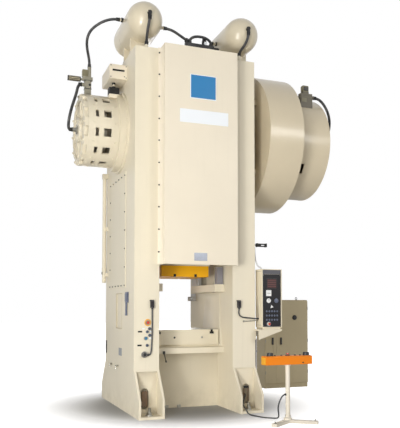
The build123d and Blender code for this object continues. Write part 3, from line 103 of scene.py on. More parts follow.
soft_lamp("key_lamp", (-9, -13, 3.6), (0, 0, 3.2), 5, 720, (1.0, 0.985, 0.955))
soft_lamp("fill_lamp", (8.5, -15, 8.2), (1.7, 0, 4.76), 3, 460, (1.0, 0.985, 0.955))
soft_lamp("side_lamp", (-6.8, -7.8, 1.0), (0, 0, 1.5), 2, 410, (1.0, 0.985, 0.95))
soft_lamp("rear_lamp", (3, 14, 6), (0, 0, 3), 6, 760, (0.98, 0.985, 1.0))


def add_node(tree, kind, inputs=None, **settings):
    """Adds a node; each input, by name or place, is set to a value or linked to a socket."""
    node = tree.nodes.new(kind)
    for label, value in settings.items():
        setattr(node, label, value)
    for place, value in (inputs or {}).items():
        if isinstance(value, bpy.types.NodeSocket):
            tree.links.new(value, node.inputs[place])
        else:
            node.inputs[place].default_value = value
    return node


def math_node(tree, operation, first, second):
    """One sum over sockets or numbers."""
    return add_node(tree, "ShaderNodeMath", {0: first, 1: second}, operation=operation).outputs[0]


def range_node(tree, value, low, high, to_low=0.0, to_high=1.0, way="LINEAR"):
    """Maps a value from one range to another, held at its ends."""
    limits = {"Value": value, "From Min": low, "From Max": high, "To Min": to_low, "To Max": to_high}
    return add_node(tree, "ShaderNodeMapRange", limits, interpolation_type=way).outputs[0]


# The sky lights the press from below more than from above, and is seen as plain white
world = bpy.data.worlds.new("studio")
world.use_nodes = True
scene.world = world
sky = world.node_tree
sky.nodes.clear()
sky_way = add_node(sky, "ShaderNodeTexCoord").outputs["Generated"]
sky_rise = add_node(sky, "ShaderNodeSeparateXYZ", {0: sky_way}).outputs["Z"]
sky_ramp = add_node(sky, "ShaderNodeValToRGB", {0: range_node(sky, sky_rise, -1, 1)})
sky_steps = ((0.42, (0.56, 0.56, 0.55, 1)), (0.95, (0.20, 0.20, 0.21, 1)))
for step, (position, colour) in zip(sky_ramp.color_ramp.elements, sky_steps):
    step.position = position
    step.color = colour
sky_light = add_node(sky, "ShaderNodeBackground", {"Color": sky_ramp.outputs[0]}).outputs[0]
sky_white = add_node(sky, "ShaderNodeBackground", {"Color": (1, 1, 1, 1)}).outputs[0]
rays = add_node(sky, "ShaderNodeLightPath").outputs
white_rays = math_node(sky, "MAXIMUM", rays["Is Camera Ray"], rays["Is Glossy Ray"])
white_rays = math_node(sky, "MAXIMUM", white_rays, rays["Is Transmission Ray"])
sky_mix = add_node(sky, "ShaderNodeMixShader", {0: white_rays, 1: sky_light, 2: sky_white})
add_node(sky, "ShaderNodeOutputWorld", {0: sky_mix.outputs[0]})

# The floor carries a painted shadow close to the press, seen only by the camera, and fades to white further
# out
floor_mesh = bpy.data.meshes.new("floor")
floor_mesh.from_pydata([(-60, -60, 0), (60, -60, 0), (60, 60, 0), (-60, 60, 0)], [], [(0, 1, 2, 3)])
floor = add_object("floor", floor_mesh)
pale_floor = bpy.data.materials.new("pale_floor")
pale_floor.use_nodes = True
ground = pale_floor.node_tree
ground.nodes.clear()
seen = add_node(ground, "ShaderNodeLightPath").outputs["Is Camera Ray"]
ground_place = add_node(ground, "ShaderNodeTexCoord").outputs["Object"]
away = add_node(ground, "ShaderNodeVectorMath", {0: ground_place}, operation="LENGTH").outputs["Value"]
# Painted shadow: the floor's grey is darkened near the press for camera rays only
painted_floor_shadow = range_node(ground, away, 0.9, 2.1, 0.42, 0.0, "SMOOTHSTEP")
far_fade = range_node(ground, away, 1.3, 3.1, way="SMOOTHSTEP")
floor_grey_with_painted_shadow = math_node(ground, "SUBTRACT", 0.8, math_node(ground, "MULTIPLY", painted_floor_shadow, seen))
matt = add_node(ground, "ShaderNodeBsdfDiffuse", {"Color": floor_grey_with_painted_shadow}).outputs[0]
glow_strength = math_node(ground, "MULTIPLY", seen, far_fade)
glow = add_node(ground, "ShaderNodeEmission", {"Color": (1, 1, 1, 1), "Strength": glow_strength})
ground_sum = add_node(ground, "ShaderNodeAddShader", {0: matt, 1: glow.outputs[0]})
add_node(ground, "ShaderNodeOutputMaterial", {0: ground_sum.outputs[0]})
floor_mesh.materials.append(pale_floor)
floor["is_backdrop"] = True

# Air hoses and cables. Black rubber hose with a fabric ply inside, 50 and 46 mm across, and black
# 22 mm cable. Each runs from port to port in one smooth curve; the cable of the stand drops from
# the column, lies on the floor and rises into the pocket of the right front foot.


def new_socket(tree, label, kind, value=None, way="INPUT"):
    """Adds a named socket to a node group and says its key."""
    made = tree.interface.new_socket(label, in_out=way, socket_type="NodeSocket" + kind)
    if value is not None:
        made.default_value = value
    return made.identifier


def effect_group(name, inputs):
    """A shader group with named inputs, for a colour, a roughness and a height."""
    tree = bpy.data.node_groups.new(name, "ShaderNodeTree")
    for label, value in inputs.items():
        new_socket(tree, label, "Color" if isinstance(value, tuple) else "Float", value)
    for label, kind in (("Color", "Color"), ("Roughness", "Float"), ("Height", "Float")):
        new_socket(tree, label, kind, way="OUTPUT")
    return tree, add_node(tree, "NodeGroupInput").outputs


def noise_node(tree, vector, scale, detail, roughness=0.55):
    """Noise over the object's own coordinates."""
    inputs = {"Vector": vector, "Scale": scale, "Detail": detail, "Roughness": roughness}
    return add_node(tree, "ShaderNodeTexNoise", inputs).outputs["Fac"]


def stretched(tree, scale=(1, 1, 1)):
    """Object coordinates, stretched along the axes."""
    place = add_node(tree, "ShaderNodeTexCoord").outputs["Object"]
    return add_node(tree, "ShaderNodeMapping", {"Vector": place, "Scale": scale}).outputs[0]


def blend_colours(tree, amount, first, second):
    """Mixes two colours; a Mix node has them at inputs 6 and 7 and its colour at output 2."""
    return add_node(tree, "ShaderNodeMix", {0: amount, 6: first, 7: second}, data_type="RGBA").outputs[2]


def dressed_material(name, group, values, bump, distance, **constants):
    """A material on one effect group, with the shader's constants set on its own sockets."""
    material = bpy.data.materials.new(name)
    material.use_nodes = True
    tree = material.node_tree
    effect = add_node(tree, "ShaderNodeGroup", values, node_tree=group).outputs
    relief = {"Strength": bump, "Distance": distance, "Height": effect["Height"]}
    normal = add_node(tree, "ShaderNodeBump", relief).outputs["Normal"]
    shader = tree.nodes["Principled BSDF"]
    tree.links.new(effect["Color"], shader.inputs["Base Color"])
    tree.links.new(effect["Roughness"], shader.inputs["Roughness"])
    tree.links.new(normal, shader.inputs["Normal"])
    for label, value in constants.items():
        shader.inputs[label.replace("_", " ")].default_value = value
    return material


# Moulded rubber and plastic: a fine grain, a little dust, slightly uneven gloss
moulded_defaults = {
    "Base": (0.02, 0.02, 0.02, 1),
    "Dust": (0.30, 0.28, 0.25, 1),
    "Dust Amount": 0.15,
    "Gloss": 0.5,
}
moulded, moulded_in = effect_group("moulded_surface", moulded_defaults)
moulded_place = stretched(moulded)
dusty = range_node(moulded, noise_node(moulded, moulded_place, 9, 5), 0.42, 0.72)
dusty = math_node(moulded, "MULTIPLY", dusty, moulded_in["Dust Amount"])
moulded_gloss = math_node(moulded, "ADD", math_node(moulded, "MULTIPLY", dusty, 0.5), moulded_in["Gloss"])
moulded_surface = {
    "Color": blend_colours(moulded, dusty, moulded_in["Base"], moulded_in["Dust"]),
    "Roughness": moulded_gloss,
    "Height": noise_node(moulded, moulded_place, 900, 2),
}
add_node(moulded, "NodeGroupOutput", moulded_surface)


def moulding(name, base, gloss, dust=0.15, **constants):
    """A moulded rubber or plastic material."""
    values = {"Base": base, "Gloss": gloss, "Dust Amount": dust}
    return dressed_material(name, moulded, values, 0.15, 0.0004, **constants)


hose_rubber = moulding("hose_rubber", shade(38, 40, 44), 0.42, 0.25)
cable_rubber = moulding("cable_rubber", shade(60, 62, 66), 0.5, 0.2)


def tube_along(name, points, diameter, material, line_steps=8, round_steps=5):
    """A round tube along one smooth line that its points pull on."""
    curve = bpy.data.curves.new(name + "_line", "CURVE")
    curve.dimensions = "3D"
    line = curve.splines.new("NURBS")
    line.points.add(len(points) - 1)
    for point, place in zip(line.points, points):
        point.co = (*place, 1)
    line.order_u = 3
    line.use_endpoint_u = True
    line.resolution_u = line_steps
    curve.bevel_depth = diameter / 2
    curve.bevel_resolution = round_steps
    curve.use_fill_caps = True
    curve.materials.append(material)
    return add_object(name + "_tube", curve)


def laid(node, diameter, length, lay, points, stiffness, material):
    """Stands for a hose or cable of the construction, from port to port."""
    piece = tube_along(node, points, diameter, material)
    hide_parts(node)
    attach(piece, "press")


# Each with its diameter, its length, how it lies and the points of its route
hoses = {
    "left_dome_hose": (
        0.046, 0.486, "taut",
        [
            (-0.867, -1.234, 6.393), (-0.867, -1.234, 6.356), (-0.878, -1.23, 6.292),
            (-0.886, -1.199, 6.212), (-0.879, -1.128, 6.145), (-0.868, -1.058, 6.098),
            (-0.86, -1.014, 6.056), (-0.86, -1.008, 6.024), (-0.86, -1.008, 6),
        ],
    ),
    "right_dome_hose": (
        0.046, 0.459, "taut",
        [
            (0.867, -1.234, 6.393), (0.867, -1.234, 6.358), (0.857, -1.23, 6.298),
            (0.843, -1.2, 6.228), (0.824, -1.132, 6.172), (0.804, -1.062, 6.132),
            (0.796, -1.016, 6.1), (0.795, -1.003, 6.07), (0.795, -1.003, 6.044),
        ],
    ),
    "brake_feed_hose": (
        0.046, 1.183, "hanging",
        [
            (-1.202, -0.55, 6.56), (-1.266, -0.55, 6.56), (-1.37, -0.52, 6.548),
            (-1.475, -0.475, 6.512), (-1.562, -0.418, 6.464), (-1.638, -0.355, 6.404),
            (-1.682, -0.291, 6.328), (-1.692, -0.222, 6.24), (-1.672, -0.152, 6.15),
            (-1.638, -0.084, 6.066), (-1.61, -0.028, 5.992), (-1.602, 0, 5.928), (-1.602, 0, 5.88),
        ],
    ),
    "brake_hose": (
        0.05, 0.988, "hanging",
        [
            (-1.731, 0, 5.566), (-1.766, 0, 5.566), (-1.804, -0.028, 5.506), (-1.828, -0.072, 5.402),
            (-1.868, -0.112, 5.27), (-1.915, -0.136, 5.125), (-1.948, -0.138, 4.985),
            (-1.964, -0.114, 4.88), (-1.962, -0.064, 4.8), (-1.946, -0.018, 4.766),
            (-1.914, 0, 4.764), (-1.885, 0, 4.764),
        ],
    ),
    "left_tank_hose": (
        0.046, 0.469, "hanging",
        [
            (-0.507, -0.8, 6.42), (-0.44, -0.8, 6.42), (-0.332, -0.801, 6.398),
            (-0.225, -0.798, 6.344), (-0.152, -0.799, 6.304), (-0.098, -0.8, 6.276),
            (-0.098, -0.8, 6.244),
        ],
    ),
    "crown_hose": (
        0.046, 0.511, "loose",
        [
            (-0.036, -0.8, 6.244), (-0.036, -0.8, 6.272), (-0.018, -0.816, 6.316),
            (0.042, -0.834, 6.344), (0.132, -0.843, 6.352), (0.222, -0.842, 6.346),
            (0.298, -0.83, 6.322), (0.346, -0.808, 6.286), (0.352, -0.8, 6.266),
            (0.352, -0.8, 6.244),
        ],
    ),
    "clutch_hose": (
        0.05, 1.439, "hanging",
        [
            (2.444, -0.66, 5.61), (2.526, -0.66, 5.61), (2.62, -0.662, 5.566), (2.722, -0.656, 5.45),
            (2.802, -0.628, 5.315), (2.867, -0.548, 5.185), (2.915, -0.42, 5.052),
            (2.941, -0.27, 4.928), (2.935, -0.13, 4.833), (2.904, -0.036, 4.778), (2.856, 0, 4.764),
            (2.804, 0, 4.764),
        ],
    ),
}
cables = {
    "stand_cable": (
        0.022, 1.816, "loose",
        [
            (0.956, -2.33, 0.42), (0.928, -2.33, 0.42), (0.888, -2.328, 0.385),
            (0.86, -2.316, 0.322), (0.848, -2.296, 0.252), (0.862, -2.262, 0.184),
            (0.895, -2.215, 0.124), (0.93, -2.15, 0.07), (0.955, -2.075, 0.03),
            (0.95, -1.995, 0.013), (0.905, -1.945, 0.012), (0.84, -1.902, 0.013),
            (0.8, -1.825, 0.012), (0.768, -1.735, 0.013), (0.738, -1.645, 0.012),
            (0.719, -1.56, 0.015), (0.716, -1.485, 0.03), (0.722, -1.42, 0.062),
            (0.728, -1.35, 0.09), (0.738, -1.272, 0.114), (0.762, -1.195, 0.152),
            (0.804, -1.132, 0.198), (0.85, -1.086, 0.236), (0.874, -1.044, 0.257),
            (0.877, -1.012, 0.262), (0.877, -0.986, 0.262),
        ],
    ),
    "left_sensor_cable": (
        0.022, 0.777, "hanging",
        [
            (-0.764, -1.077, 1.715), (-0.764, -1.077, 1.655), (-0.76, -1.073, 1.366),
            (-0.768, -1.074, 1.13), (-0.775, -1.079, 1.052), (-0.784, -1.083, 1.004),
            (-0.796, -1.083, 0.976), (-0.812, -1.083, 0.97), (-0.83, -1.083, 0.97),
        ],
    ),
    "right_sensor_cable": (
        0.022, 0.484, "hanging",
        [
            (0.748, -1.077, 1.714), (0.748, -1.077, 1.68), (0.742, -1.074, 1.636),
            (0.757, -1.072, 1.586), (0.806, -1.072, 1.556), (0.88, -1.073, 1.549),
            (0.965, -1.074, 1.541), (1.052, -1.078, 1.532), (1.104, -1.078, 1.532),
        ],
    ),
}
for name, hose in hoses.items():
    laid(name, *hose, "stiff", hose_rubber)
for name, cable in cables.items():
    laid(name, *cable, "medium", cable_rubber)

# Hose ends. Each hose is crimped into a plated steel ferrule with a hexagon nut that is screwed
# on the port; the cables pass through plastic glands with a domed nut.
metal_defaults = {
    "Bright": (0.6, 0.6, 0.6, 1),
    "Dull": (0.35, 0.35, 0.34, 1),
    "Tool Marks": 60.0,
    "Gloss": 0.3,
}
metal, metal_in = effect_group("turned_metal", metal_defaults)
tool_marks = noise_node(metal, stretched(metal, (1, 0.06, 1)), metal_in["Tool Marks"], 3, 0.5)
stain = range_node(metal, noise_node(metal, stretched(metal), 4, 6), 0.35, 0.7)
stain = math_node(metal, "MULTIPLY", stain, 0.6)
stain = math_node(metal, "ADD", stain, math_node(metal, "MULTIPLY", tool_marks, 0.4))
metal_surface = {
    "Color": blend_colours(metal, stain, metal_in["Bright"], metal_in["Dull"]),
    "Roughness": math_node(metal, "ADD", math_node(metal, "MULTIPLY", stain, 0.22), metal_in["Gloss"]),
    "Height": tool_marks,
}
add_node(metal, "NodeGroupOutput", metal_surface)


def machined(name, bright, dull, gloss, marks=60.0, **constants):
    """A bare metal with tool marks and faint stains."""
    values = {"Bright": bright, "Dull": dull, "Tool Marks": marks, "Gloss": gloss}
    return dressed_material(name, metal, values, 0.12, 0.0006, Metallic=1.0, **constants)


plated_steel = machined("plated_steel", shade(196, 194, 186), shade(128, 126, 118), 0.28)
dark_steel = machined("dark_steel", shade(74, 74, 74), shade(40, 40, 40), 0.4)
black_plastic = moulding("black_plastic", shade(34, 34, 36), 0.45, 0.12)
to_left, to_right = (-1, 0, 0), (1, 0, 0)
to_front, to_back = (0, -1, 0), (0, 1, 0)
down, up = (0, 0, -1), (0, 0, 1)


def turned(bm, start, along, profile, sides=32, closed=True):
    """Revolves a profile of (distance, radius) pairs round a line; closed ends are capped."""
    along = Vector(along).normalized()
    across = along.orthogonal().normalized()
    over = along.cross(across)
    turns = [2 * pi * i / sides for i in range(sides)]
    rings = []
    for distance, radius in profile:
        middle = Vector(start) + along * distance
        if radius < 1e-6:
            rings.append([bm.verts.new(middle)])
        else:
            rings.append([bm.verts.new(middle + (across * cos(t) + over * sin(t)) * radius) for t in turns])
    for ring, after in zip(rings, rings[1:]):
        if len(ring) == 1 and len(after) == 1:
            continue
        for i in range(sides):
            j = (i + 1) % sides
            if len(ring) == 1:
                bm.faces.new((ring[0], after[j], after[i]))
            elif len(after) == 1:
                bm.faces.new((ring[i], ring[j], after[0]))
            else:
                bm.faces.new((ring[i], ring[j], after[j], after[i]))
    for ring in (rings[0], rings[-1]):
        if closed and len(ring) > 1:
            bm.faces.new(ring)


def slab(bm, low, high, placed=Matrix()):
    """A straight-sided block between two corners, moved by a matrix."""
    corners = [(x, y, z) for x in (low[0], high[0]) for y in (low[1], high[1]) for z in (low[2], high[2])]
    v = [bm.verts.new(placed @ Vector(corner)) for corner in corners]
    for quad in ((0, 1, 3, 2), (4, 6, 7, 5), (0, 4, 5, 1), (2, 3, 7, 6), (0, 2, 6, 4), (1, 5, 7, 3)):
        bm.faces.new([v[i] for i in quad])


def settle(piece):
    """Turns what the modifiers make into the piece's own mesh."""
    graph = bpy.context.evaluated_depsgraph_get()
    evaluated = piece.evaluated_get(graph)
    made = bpy.data.meshes.new_from_object(evaluated, preserve_all_data_layers=True, depsgraph=graph)
    piece.modifiers.clear()
    piece.data = made


def finished(name, bm, material, body, edge=0.0, smooth_below=35):
    """Turns the work into a piece: faces outwards, edges eased, smooth where it is round."""
    bmesh.ops.recalc_face_normals(bm, faces=bm.faces)
    weights = bm.edges.layers.float.new("bevel_weight_edge")
    for line in bm.edges:
        outer = line.is_manifold and line.is_convex and line.calc_face_angle(0.0) > radians(smooth_below)
        line[weights] = 1.0 if outer else 0.0
    mesh = bpy.data.meshes.new(name)
    bm.to_mesh(mesh)
    bm.free()
    mesh.materials.append(material)
    mesh.shade_smooth()
    mesh.set_sharp_from_angle(angle=radians(smooth_below))
    piece = add_object(name, mesh)
    if edge:
        bevel = piece.modifiers.new("eased_edges", "BEVEL")
        bevel.width = edge
        bevel.segments = 2
        bevel.limit_method = "WEIGHT"
        bevel.use_clamp_overlap = True
        bevel.harden_normals = True
        settle(piece)
        piece.data.attributes.remove(piece.data.attributes["bevel_weight_edge"])
    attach(piece, body)
    return piece


def worked(name, material, edge=0.0, blocks=(), turns=(), body="press"):
    """One piece made of straight-sided blocks and turned parts."""
    bm = bmesh.new()
    for block in blocks:
        slab(bm, *block)
    for part in turns:
        turned(bm, *part)
    return finished(name, bm, material, body, edge)


def mouths(route):
    """The two ends of a route, each with the way its hose leaves it."""
    return [(a, Vector(b) - Vector(a)) for a, b in ((route[0], route[1]), (route[-1], route[-2]))]


# Both are in shares of the bore, from the face of the port onwards
nut = [(-0.004, 0.72), (0.018, 0.72)]
ferrule = [(0.018, 0.5), (0.018, 0.62), (0.028, 0.66), (0.034, 0.60)]
ferrule += [(0.042, 0.66), (0.048, 0.60), (0.056, 0.64), (0.06, 0.52)]
hose_ends = [
    (mouth, along, [(distance, bore * share) for distance, share in profile], sides)
    for bore, _, _, route in hoses.values()
    for mouth, along in mouths(route)
    for profile, sides in ((nut, 6), (ferrule, 24))
]
worked("hose_fittings", dark_steel, 0.0015, turns=hose_ends)
domed_nut = [(-0.002, 0.017), (0.012, 0.017), (0.018, 0.0155), (0.022, 0.0125), (0.022, 0.011)]
cable_ends = [(*mouth, domed_nut, 12) for _, _, _, route in cables.values() for mouth in mouths(route)]
worked("cable_glands", black_plastic, 0.001, turns=cable_ends)

# Press frame. One welded box of thick plate, stress-relieved, primed and sprayed in cream enamel:
# a slightly orange-peeled satin coat, a little greyer where hands and mops reach near the floor.
# It stands on the floor on four open feet, each held by one foundation bolt.
spray_defaults = {
    "Paint": (0.75, 0.67, 0.53, 1),
    "Grime": (0.30, 0.26, 0.19, 1),
    "Grime Amount": 0.2,
    "Gloss": 0.32,
    "Foot Height": 0.5,
}
spray, spray_in = effect_group("sprayed_enamel", spray_defaults)
spray_place = stretched(spray)
cloud = noise_node(spray, spray_place, 0.8, 4)
height = add_node(spray, "ShaderNodeSeparateXYZ", {0: spray_place}).outputs["Z"]
soiled = range_node(spray, height, 0.0, spray_in["Foot Height"], 1.0, 0.0)
dirt = range_node(spray, noise_node(spray, spray_place, 5, 8, 0.65), 0.38, 0.75)
streaks = range_node(spray, noise_node(spray, stretched(spray, (14, 14, 0.7)), 1, 5), 0.56, 0.8)
soiled = math_node(spray, "MULTIPLY", soiled, dirt)
soiled = math_node(spray, "ADD", soiled, math_node(spray, "MULTIPLY", streaks, 0.22))
soiled = math_node(spray, "MULTIPLY", soiled, spray_in["Grime Amount"])
tint = {0: spray_in["Paint"], "Scale": range_node(spray, cloud, 0.3, 0.7, 0.965, 1.02)}
tinted = add_node(spray, "ShaderNodeVectorMath", tint, operation="SCALE").outputs[0]
spray_gloss = math_node(spray, "ADD", math_node(spray, "MULTIPLY", soiled, 0.5), spray_in["Gloss"])
spray_surface = {
    "Color": blend_colours(spray, soiled, tinted, spray_in["Grime"]),
    "Roughness": math_node(spray, "ADD", spray_gloss, math_node(spray, "MULTIPLY", cloud, 0.08)),
    "Height": noise_node(spray, spray_place, 260, 2),
}
add_node(spray, "NodeGroupOutput", spray_surface)


def enamel(name, paint, gloss=0.32, grime=0.25, foot=0.5, peel=0.06, **constants):
    """Sprayed enamel in one colour."""
    values = {"Paint": paint, "Gloss": gloss, "Grime Amount": grime, "Foot Height": foot}
    constants.setdefault("Specular_IOR_Level", 0.35)
    return dressed_material(name, spray, values, peel, 0.0008, **constants)


def eased(node, material, edge, body="press"):
    """Stands for a CAD node: its own shape with the edges eased and the round faces smooth."""
    bm = bmesh.new()
    bm.from_mesh(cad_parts[node].data)
    bmesh.ops.remove_doubles(bm, verts=bm.verts, dist=1e-5)
    bmesh.ops.dissolve_limit(bm, angle_limit=radians(0.6), verts=bm.verts, edges=bm.edges)
    piece = finished(node + "_dressed", bm, material, body, edge, smooth_below=30)
    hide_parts(node)
    return piece


def coated(material, *nodes):
    """Gives CAD nodes their finish as they are."""
    for node in nodes:
        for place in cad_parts[node].material_slots:
            place.material = material


cream = shade(226, 217, 195)
frame_enamel = enamel("frame_enamel", cream, 0.36, 0.30, 0.45)
eased("press_frame", frame_enamel, 0.004)

# Fasteners are all made by one rule: a head on each given point, turned to face outwards.
# Hexagon heads have a washer under them; cap screws are round.
heads = bpy.data.node_groups.new("screw_heads", "GeometryNodeTree")
head_keys = {
    label: new_socket(heads, label, kind, value)
    for label, kind, value in (
        ("Geometry", "Geometry", None),
        ("Head Radius", "Float", 0.012),
        ("Head Height", "Float", 0.008),
        ("Washer Radius", "Float", 0.016),
        ("Washer Height", "Float", 0.003),
        ("Head Sides", "Int", 6),
        ("Finish", "Material", None),
    )
}
new_socket(heads, "Geometry", "Geometry", way="OUTPUT")
head_in = add_node(heads, "NodeGroupInput").outputs


def head_step(radius, height, bottom, sides, top_share):
    """One step of a head: a short cone that stands on the height called bottom."""
    sizes = {"Vertices": sides, "Radius Bottom": radius, "Depth": height}
    sizes["Radius Top"] = math_node(heads, "MULTIPLY", radius, top_share)
    cone = add_node(heads, "GeometryNodeMeshCone", sizes).outputs["Mesh"]
    lift = add_node(heads, "ShaderNodeCombineXYZ", {"Z": bottom}).outputs[0]
    return add_node(heads, "GeometryNodeTransform", {"Geometry": cone, "Translation": lift}).outputs[0]


washer_height = head_in["Washer Height"]
head_shape = head_in["Head Radius"], head_in["Head Sides"]
body_height = math_node(heads, "MULTIPLY", head_in["Head Height"], 0.8)
crown_height = math_node(heads, "MULTIPLY", head_in["Head Height"], 0.2)
crown_bottom = math_node(heads, "ADD", washer_height, body_height)
head_join = add_node(heads, "GeometryNodeJoinGeometry")
for step in (
    head_step(head_in["Washer Radius"], washer_height, 0.0, 20, 0.97),
    head_step(head_shape[0], body_height, washer_height, head_shape[1], 1.0),
    head_step(head_shape[0], crown_height, crown_bottom, head_shape[1], 0.82),
):
    heads.links.new(step, head_join.inputs[0])
facing = add_node(heads, "GeometryNodeInputNamedAttribute", {"Name": "facing"}, data_type="FLOAT_VECTOR")
head_turn = {"Vector": facing.outputs["Attribute"]}
head_places = {
    "Points": head_in["Geometry"],
    "Instance": head_join.outputs[0],
    "Rotation": add_node(heads, "FunctionNodeAlignRotationToVector", head_turn, axis="Z").outputs[0],
}
head_copies = add_node(heads, "GeometryNodeInstanceOnPoints", head_places).outputs[0]
head_real = add_node(heads, "GeometryNodeRealizeInstances", {0: head_copies}).outputs[0]
head_finish = {"Geometry": head_real, "Material": head_in["Finish"]}
head_made = add_node(heads, "GeometryNodeSetMaterial", head_finish).outputs[0]
add_node(heads, "NodeGroupOutput", {0: head_made})


def screws(name, places, radius, height, finish, sides=6, washer_share=1.3, washer=0.003):
    """A screw on each (point, facing) pair, as one piece."""
    mesh = bpy.data.meshes.new(name)
    mesh.from_pydata([tuple(point) for point, _ in places], [], [])
    outward = mesh.attributes.new("facing", "FLOAT_VECTOR", "POINT")
    for item, (_, way) in zip(outward.data, places):
        item.vector = Vector(way).normalized()
    piece = add_object(name, mesh)
    modifier = piece.modifiers.new("heads", "NODES")
    modifier.node_group = heads
    for label, value in (
        ("Head Radius", radius),
        ("Head Height", height),
        ("Washer Radius", radius * washer_share),
        ("Washer Height", washer),
        ("Head Sides", sides),
        ("Finish", finish),
    ):
        modifier[head_keys[label]] = value
    settle(piece)
    piece.data.materials.clear()
    piece.data.materials.append(finish)
    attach(piece, "press")


def row(first, last, count, facing_way):
    """Evenly spaced points from first to last."""
    first, last = Vector(first), Vector(last)
    return [(first.lerp(last, i / max(count - 1, 1)), facing_way) for i in range(count)]


def ring(middle, along, radius, count, phase=0.0):
    """Evenly spaced points round a line that runs left to right, facing along it."""
    along = Vector(along)
    over = along.cross(Vector(up))
    turns = [2 * pi * (i + phase) / count for i in range(count)]
    return [(Vector(middle) + (Vector(up) * cos(t) + over * sin(t)) * radius, along) for t in turns]


anchor_places = [((x, y, 0.04), up) for x in (-0.8475, 0.8475) for y in (-1.23, 1.23)]
screws("anchor_nuts", anchor_places, 0.046, 0.042, plated_steel, 6, 1.35, 0.008)
thread = [(0.045, 0.026), (0.1, 0.026)]
for step in range(12):
    thread += [(0.1 + step * 0.0045, 0.026), (0.102 + step * 0.0045, 0.0238)]
thread += [(0.155, 0.026), (0.158, 0.022), (0.158, 0)]
studs = [((x, y, 0), up, thread, 20) for (x, y, _), _ in anchor_places]
worked("anchor_studs", plated_steel, turns=studs)

# Covers of the crown. Folded 3 mm sheet boxes in front and behind, screwed to the frame through
# their flanges. The front one carries a blue square plate, a white strip and a small bare
# aluminium plate, all blank.
cover_enamel = enamel("cover_enamel", shade(231, 221, 201), 0.38, 0.18, 0.3)
eased("front_cover", cover_enamel, 0.003)
eased("rear_cover", cover_enamel, 0.003)
cover_levels = [5.878, 5.521, 5.156, 4.79, 4.433, 4.068, 3.703, 3.346, 2.981, 2.615]
cover_screws = [((x, -1.063, z), to_front) for x in (-0.654, 0.654) for z in cover_levels]
cover_screws += [((x, 1.063, z), to_back) for x in (-0.654, 0.654) for z in cover_levels[:9]]
screws("cover_screws", cover_screws, 0.0105, 0.009, dark_steel, 16, 1.25)
blue_enamel = enamel("blue_enamel", shade(38, 122, 178), 0.3, 0.0)
white_enamel = enamel("white_enamel", shade(236, 240, 244), 0.3, 0.0)
brushed_plate = machined("brushed_plate", shade(186, 190, 200), shade(150, 154, 166), 0.34)
for name, material, finish_slot, low, high in (
    ("cover_plate_border", white_enamel, "cover_paint", (-0.204, -1.3045, 5.110), (0.250, -1.299, 5.510)),
    ("cover_square_plate", blue_enamel, "blue_plastic", (-0.192, -1.307, 5.122), (0.238, -1.3045, 5.498)),
    ("cover_strip_plate", white_enamel, "cover_paint", (-0.379, -1.304, 4.705), (0.463, -1.299, 4.925)),
    ("cover_small_plate", brushed_plate, "machined_steel", (-0.132, -1.303, 2.47), (0.091, -1.299, 2.598)),
):
    worked(name, material, 0.002, [(low, high)])

# Left side of the frame. A flat sheet cover over the opening in the upright, screwed all round; a
# shallow hatch whose thin frame is painted darker than the side, as painted shade along its edges; a
# blue level gauge with its tube; a blank label; two drain cocks near the floor, and a slot for
# slinging at the rear edge, drawn as a thin dark plate of painted shade.
frame_half = 1.055
side_enamel = enamel("side_enamel", shade(224, 215, 192), 0.36, 0.3, 0.6)
eased("left_side_cover", side_enamel, 0.002)
side_screws = []
for y in (-0.44, 0.66):
    side_screws += row((-1.065, y, 2.09), (-1.065, y, 3.95), 7, to_left)
for z in (2.09, 3.95):
    side_screws += row((-1.065, -0.22, z), (-1.065, 0.44, z), 4, to_left)
screws("side_cover_screws", side_screws, 0.0105, 0.008, dark_steel, 16)
# The hatch frame's darker enamel is painted shade: it stands for the shadow along the edges of the recess.
hatch_shade_enamel = enamel("hatch_shade_enamel", shade(200, 188, 158), 0.4, 0.3, 0.6)
hatch = [
    ((-1.059, -0.2475, 1.352), (-1.052, 0.1835, 1.368)),
    ((-1.059, -0.2475, 1.952), (-1.052, 0.1835, 1.968)),
    ((-1.059, -0.2475, 1.368), (-1.052, -0.2315, 1.952)),
    ((-1.059, 0.1675, 1.368), (-1.052, 0.1835, 1.952)),
]
worked("hatch_frame", hatch_shade_enamel, 0.0015, hatch)
gauge_blue = moulding("gauge_blue", shade(84, 92, 114), 0.35, 0.1)
gauge_body = [
    ((-1.073, -0.70, 1.80), (-frame_half, -0.52, 1.975)),
    ((-1.085, -0.672, 1.822), (-1.073, -0.548, 1.953)),
]
gauge_tube = [
    ((-1.072, -0.61, 1.60), up, [(0, 0), (0, 0.017), (0.2, 0.017)], 20),
    ((-1.072, -0.61, 1.588), up, [(0, 0.021), (0.02, 0.021)], 6),
]
worked("level_gauge", gauge_blue, 0.003, gauge_body, gauge_tube)
label_grey = enamel("label_grey", shade(150, 152, 156), 0.4, 0.1)
side_label = ((-1.0575, -0.241, 0.899), (-frame_half, -0.02, 1.029))
worked("side_label", label_grey, 0.001, [side_label])
drain_places = (0.5, 0.02)
drain_height = 0.712
drain_levers = [((-1.104, y - 0.035, 0.722), (-1.094, y + 0.006, 0.732)) for y in drain_places]
drains = []
for y in drain_places:
    body_start = (-frame_half, y, drain_height)
    drains.append((body_start, to_left, [(0, 0.02), (0.018, 0.02)], 6))
    drains.append((body_start, to_left, [(0.018, 0.012), (0.052, 0.012), (0.056, 0.009)], 20))
    drains.append(((-1.099, y, drain_height), down, [(0, 0.010), (0.05, 0.010)], 20))
worked("drain_cocks", plated_steel, 0.001, drain_levers, drains)
# Flat near-black: the true colour of labels and needles, and painted shade where it stands for the dark
# inside of holes and slots.
black_and_hole_shade = moulding("black_and_hole_shade", shade(30, 28, 26), 0.8, 0.0)
# The sling slot is a thin dark plate on the side: painted shade standing for the slot's dark inside.
sling_slot_shade = ((-1.0565, 0.93, 0.873), (-frame_half, 1.02, 1.106))
worked("sling_slot_shade", black_and_hole_shade, 0.0006, [sling_slot_shade])

